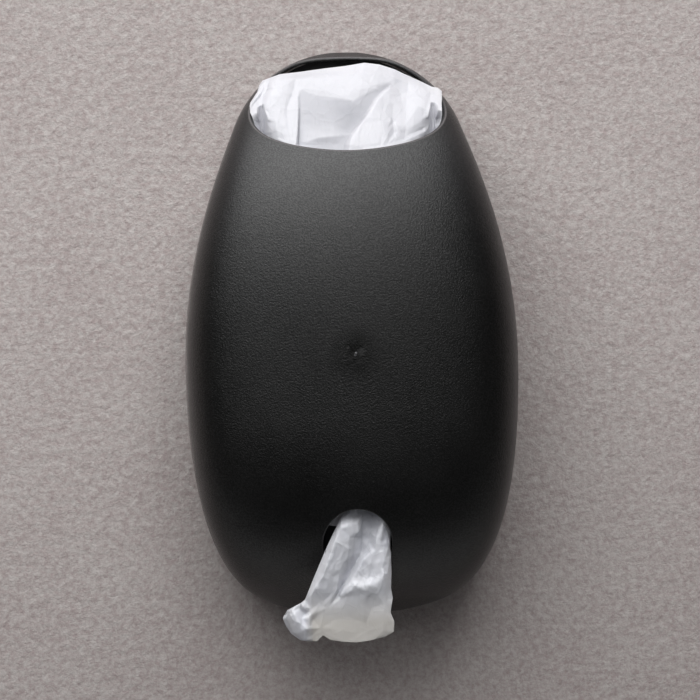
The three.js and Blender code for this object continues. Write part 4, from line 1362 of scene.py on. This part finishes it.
def black_plastic(name, dark, sky_lit, grain, roughness, gate=None):
    """Black polypropylene with a spark-eroded grain, and painted light: greyer where it faces up
    and higher up.
    """
    material, tree, shader = new_material(name)
    at = coordinates(tree)
    pits = noise(tree, at, 1150, 2.0, 0.55)
    fine = noise(tree, at, 2600, 1.0, 0.5)
    grains = plus(tree, pits, times(tree, fine, 0.4))
    cloud = noise(tree, at, 22, 4.0, 0.6)
    normal = separate(tree, tree.nodes.new("ShaderNodeNewGeometry").outputs["Normal"])
    height = separate(tree, at)["Z"]
    # Painted light from the sky: surfaces that face up, and higher ones, are painted greyer.
    sky_facing = plus(tree, times(tree, normal["Z"], 0.75), times(tree, height, 1.6))
    sky_facing = plus(tree, sky_facing, times(tree, cloud, 0.12))
    painted_sky_light = ramp(tree, sky_facing, [(0.08, 0.0), (0.30, 0.16), (0.62, 1.0)])
    colour = mix(tree, painted_sky_light, dark, sky_lit)
    speck = ramp(tree, grains, [(0.62, 0.82), (0.80, 1.0)])
    colour = mix(tree, 1.0, colour, speck, "MULTIPLY")
    # Edges are polished and whitened by the bags that rub over them.
    # Painted highlight: the rounded edges of the mouth and the slot are painted paler where light
    # catches them.
    edge_highlight = times(tree, point_value(tree, "painted_highlight"), ramp(tree, cloud, [(0.3, 0.75), (0.65, 1.0)]))
    colour = mix(tree, edge_highlight, colour, (0.21, 0.195, 0.20))
    rough = ramp(tree, cloud, [(0.3, roughness - 0.04), (0.7, roughness + 0.06)])
    if gate is not None:
        level, colour = gate_marks(tree, at, gate, grains, colour)
        tree.links.new(level, shader.inputs["Specular IOR Level"])
    # The steep sides have hardly any grain and are glossier.
    forward = math_node(tree, "ABSOLUTE", normal["Y"])
    steep = ramp(tree, forward, [(0.02, 0.5), (0.14, 1.0)])
    rough = times(tree, rough, steep)
    tree.links.new(colour, shader.inputs["Base Color"])
    tree.links.new(rough, shader.inputs["Roughness"])
    shader.inputs["IOR"].default_value = 1.5
    shader.inputs["Specular IOR Level"].default_value = 0.53
    first = bump(tree, pits, grain, 0.0004)
    tree.links.new(bump(tree, fine, grain * 0.6, 0.0003, first), shader.inputs["Normal"])
    return material


def facets(tree, where, scale, stretch, width):
    """Straight creases between flat facets: nothing in the facets, and one along their edges."""
    mapping = tree.nodes.new("ShaderNodeMapping")
    mapping.inputs["Scale"].default_value = stretch
    tree.links.new(where, mapping.inputs["Vector"])
    cells = tree.nodes.new("ShaderNodeTexVoronoi")
    cells.feature = "DISTANCE_TO_EDGE"
    cells.inputs["Scale"].default_value = scale
    tree.links.new(mapping.outputs["Vector"], cells.inputs["Vector"])
    return ramp(tree, cells.outputs["Distance"], [(0.0, 1.0), (width, 0.0)])


def film(name):
    """Thin white polythene: milky, with a satin gloss and fine wrinkles."""
    material, tree, shader = new_material(name)
    at = coordinates(tree)
    soft = noise(tree, at, 38, 3.0, 0.55, (1, 1, 0.6))
    wrinkle = noise(tree, at, 170, 3.0, 0.6, (1.6, 1.0, 0.7))
    height = separate(tree, at)["Z"]
    # Lit and shaded copies of one film: the mouth bag's is painted darker to offset the stronger
    # light over the mouth, and the pulled bag's is painted paler and bluer.
    mouth_film_painted_darker = (0.725, 0.725, 0.765)
    pulled = (0.78, 0.79, 0.845)
    # Painted warm grey of the wall's light seen through the film
    flat = (0.66, 0.635, 0.60)
    # The flat end part of the pulled bag lies low down and to the right. There the film is painted
    # warm grey, a painted reflection of the wall's light coming through it.
    lower = times(tree, plus(tree, height, 0.143), -60.0, True)
    across = separate(tree, at)["X"]
    inner = times(tree, plus(tree, across, 0.030), 200.0, True)
    lower = times(tree, lower, inner)
    in_mouth = ramp(tree, height, [(0.0, 0.0), (0.05, 1.0)])
    colour = mix(tree, lower, mix(tree, in_mouth, pulled, mouth_film_painted_darker), flat)
    # Painted shade: the film is painted greyer where it is a single layer over the dark hollow and
    # where the cover shades it.
    colour = mix(tree, point_value(tree, "painted_film_shade"), colour, (0.22, 0.225, 0.265))
    shade = ramp(tree, soft, [(0.3, 0.93), (0.7, 1.0)])
    colour = mix(tree, 1.0, colour, shade, "MULTIPLY")
    tree.links.new(colour, shader.inputs["Base Color"])
    tree.links.new(ramp(tree, soft, [(0.3, 0.36), (0.7, 0.5)]), shader.inputs["Roughness"])
    shader.inputs["IOR"].default_value = 1.5
    shader.inputs["Subsurface Weight"].default_value = 0.5
    shader.inputs["Subsurface Scale"].default_value = 0.004
    shader.inputs["Subsurface Radius"].default_value = (1.0, 1.0, 1.0)
    creases = facets(tree, at, 52, (1.0, 1.0, 0.7), 0.05)
    small = facets(tree, at, 120, (1.3, 1.0, 0.8), 0.06)
    calm = math_node(tree, "SUBTRACT", 1.0, times(tree, lower, 0.75))
    # The pulled bag is creased harder than the one in the mouth.
    calm = times(tree, calm, ramp(tree, in_mouth, [(0.0, 2.0), (1.0, 1.0)]))
    creases = times(tree, creases, calm)
    small = times(tree, small, calm)
    first = bump(tree, creases, 0.17, 0.0008)
    second = bump(tree, small, 0.14, 0.0005, first)
    tree.links.new(bump(tree, wrinkle, 0.14, 0.0004, second), shader.inputs["Normal"])
    return material


def metal(name, colour):
    """Zinc-plated steel with fine turning marks."""
    material, tree, shader = new_material(name)
    at = coordinates(tree)
    rings = noise(tree, at, 900, 2.0, 0.6, (1, 0.15, 1))
    cloud = noise(tree, at, 160, 3.0, 0.6)
    tree.links.new(
        mix(tree, ramp(tree, cloud, [(0.35, 0.0), (0.7, 1.0)]), colour, (0.48, 0.46, 0.42)),
        shader.inputs["Base Color"],
    )
    tree.links.new(ramp(tree, cloud, [(0.3, 0.28), (0.7, 0.45)]), shader.inputs["Roughness"])
    shader.inputs["Metallic"].default_value = 1.0
    tree.links.new(bump(tree, rings, 0.25, 0.0002), shader.inputs["Normal"])
    return material


def nylon(name, colour, other):
    """Grey nylon, a little mottled."""
    material, tree, shader = new_material(name)
    at = coordinates(tree)
    cloud = noise(tree, at, 220, 3.0, 0.6)
    tree.links.new(mix(tree, cloud, colour, other), shader.inputs["Base Color"])
    tree.links.new(ramp(tree, cloud, [(0.3, 0.5), (0.7, 0.68)]), shader.inputs["Roughness"])
    tree.links.new(bump(tree, cloud, 0.2, 0.0003), shader.inputs["Normal"])
    return material


cover_plastic = black_plastic(
    "cover_plastic", (0.0018, 0.0017, 0.0015), (0.016, 0.016, 0.017), 0.55, 0.32,
    gate=(GATE[0] * MM, -gate_depth * MM, GATE[1] * MM),
)
plate_plastic = black_plastic(
    "plate_plastic", (0.010, 0.010, 0.010), (0.018, 0.018, 0.018), 0.3, 0.5
)
bag_film = film("bag_film")
screw_steel = metal("screw_steel", (0.62, 0.62, 0.63))
plug_nylon = nylon("plug_nylon", (0.40, 0.41, 0.42), (0.46, 0.47, 0.47))

cover.data.materials.append(cover_plastic)
for piece in scene.objects:
    if piece.get("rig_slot") == "bag_film":
        piece.data.materials.append(bag_film)
for name, node in frame["nodes"].items():
    if node.hide_render:
        continue
    if name == "back_plate":
        look = plate_plastic
    elif "screw" in name:
        look = screw_steel
    else:
        look = plug_nylon
    if not node.material_slots:
        node.data.materials.append(look)
    for slot in node.material_slots:
        slot.material = look

# Stage: a plain wall that the dispenser hangs on, with a hole behind the plate so that the rear
# shows from behind, and a pale floor well below


def stage_material(name, colour, other, through):
    """Rough stone. Where it is see-through from behind, it lets the part's rear show."""
    material, tree, shader = new_material(name)
    at = coordinates(tree)
    grain = times(tree, noise(tree, at, 260, 5.0, 0.8), 0.86)
    grain = plus(tree, grain, times(tree, noise(tree, at, 17, 4.0, 0.6), 0.14))
    rough = noise(tree, at, 150, 5.0, 0.72)
    tree.links.new(bump(tree, rough, 0.6, 0.0024), shader.inputs["Normal"])
    # Darker downwards and to the right
    place = separate(tree, at)
    toward_lower_right = math_node(tree, "MULTIPLY_ADD", place["Z"], -2.4)
    toward_lower_right.node.inputs[2].default_value = 0.22
    toward_lower_right = plus(tree, toward_lower_right, times(tree, place["X"], 0.3), True)
    stone_mottle = mix(tree, ramp(tree, grain, [(0.40, 0.0), (0.60, 1.0)]), colour, other)
    lower_right_factor = ramp(tree, toward_lower_right, [(0.0, 1.0), (1.0, 0.72)])
    tree.links.new(mix(tree, 1.0, stone_mottle, lower_right_factor, "MULTIPLY"), shader.inputs["Base Color"])
    shader.inputs["Roughness"].default_value = 0.9
    shader.inputs["Specular IOR Level"].default_value = 0.2
    if through:
        clear = tree.nodes.new("ShaderNodeBsdfTransparent")
        blend = tree.nodes.new("ShaderNodeMixShader")
        side = tree.nodes.new("ShaderNodeNewGeometry").outputs["Backfacing"]
        out = next(n for n in tree.nodes if n.type == "OUTPUT_MATERIAL")
        tree.links.new(side, blend.inputs["Fac"])
        tree.links.new(shader.outputs["BSDF"], blend.inputs[1])
        tree.links.new(clear.outputs["BSDF"], blend.inputs[2])
        tree.links.new(blend.outputs["Shader"], out.inputs["Surface"])
    return material


WALL_FACE = -0.3  # just behind the back plate
WALL_HALF = (4480.0, 3360.0)
HOLE_MARGIN = (10.0, 16.0)  # inside the cover's outline, across and up


def stage_wall():
    count = 96
    turns = np.arange(count) * 2 * math.pi / count
    sine, cosine = np.sin(turns), np.cos(turns)

    def in_hole(reach):
        x, z = np.abs(reach * sine), reach * cosine
        return (np.abs(z) < TOP - HOLE_MARGIN[1]) & (x < side_at(z) - HOLE_MARGIN[0])

    reach, _ = halved(in_hole, np.zeros(count), np.full(count, 200.0), 40)
    level = np.full(count, WALL_FACE)
    inner = np.stack([reach * sine, level, reach * cosine], 1)
    outer = np.stack([WALL_HALF[0] * sine, level, WALL_HALF[1] * cosine], 1)
    faces = []
    for i in range(count):
        j = (i + 1) % count
        faces.append([i, j, count + j, count + i])
    wall = add_mesh("wall", np.vstack([inner, outer]), faces)
    if wall.data.polygons[0].normal.y > 0:
        wall.data.flip_normals()
    wall.data.materials.append(
        stage_material("wall", (0.635, 0.59, 0.57), (0.475, 0.40, 0.39), True)
    )
    return wall


wall = stage_wall()
floor = add_mesh(
    "floor",
    [(-4000, -10, -950), (4000, -10, -950), (4000, 500, -950), (-4000, 500, -950)],
    [[0, 1, 2, 3]],
)
if floor.data.polygons[0].normal.z < 0:
    floor.data.flip_normals()
floor.data.materials.append(stage_material("floor", (0.78, 0.79, 0.79), (0.70, 0.71, 0.71), False))

# Light: a broad soft sky above and to the left, dimmer towards the horizon, and an even dim
# surrounding


def area_lamp(name, place, aim, size, power):
    data = bpy.data.lights.new(name, "AREA")
    data.shape = "RECTANGLE"
    data.size, data.size_y = size
    data.energy = power
    lamp = bpy.data.objects.new(name, data)
    lamp.location = place
    lamp.rotation_mode = "QUATERNION"
    lamp.rotation_quaternion = (Vector(aim) - Vector(place)).to_track_quat("-Z", "Y")
    scene.collection.objects.link(lamp)


area_lamp("sky", (-0.45, -1.5, 2.57), (0, -0.05, 0), (4.0, 3.33), 145)
area_lamp("low_sky", (-0.45, -2.73, 1.11), (0, -0.05, 0), (4.0, 1.0), 18)
# The wall keeps this one off the front: it only shows the back plate's rear.
area_lamp("behind", (0.7, 1.6, 1.3), (0, 0, 0), (2.4, 2.4), 60)

world = bpy.data.worlds.new("world")
world.use_nodes = True
background = world.node_tree.nodes["Background"]
background.inputs["Color"].default_value = (0.95, 0.97, 1.0, 1)
background.inputs["Strength"].default_value = 0.06
scene.world = world
scene.view_settings.view_transform = "Standard"
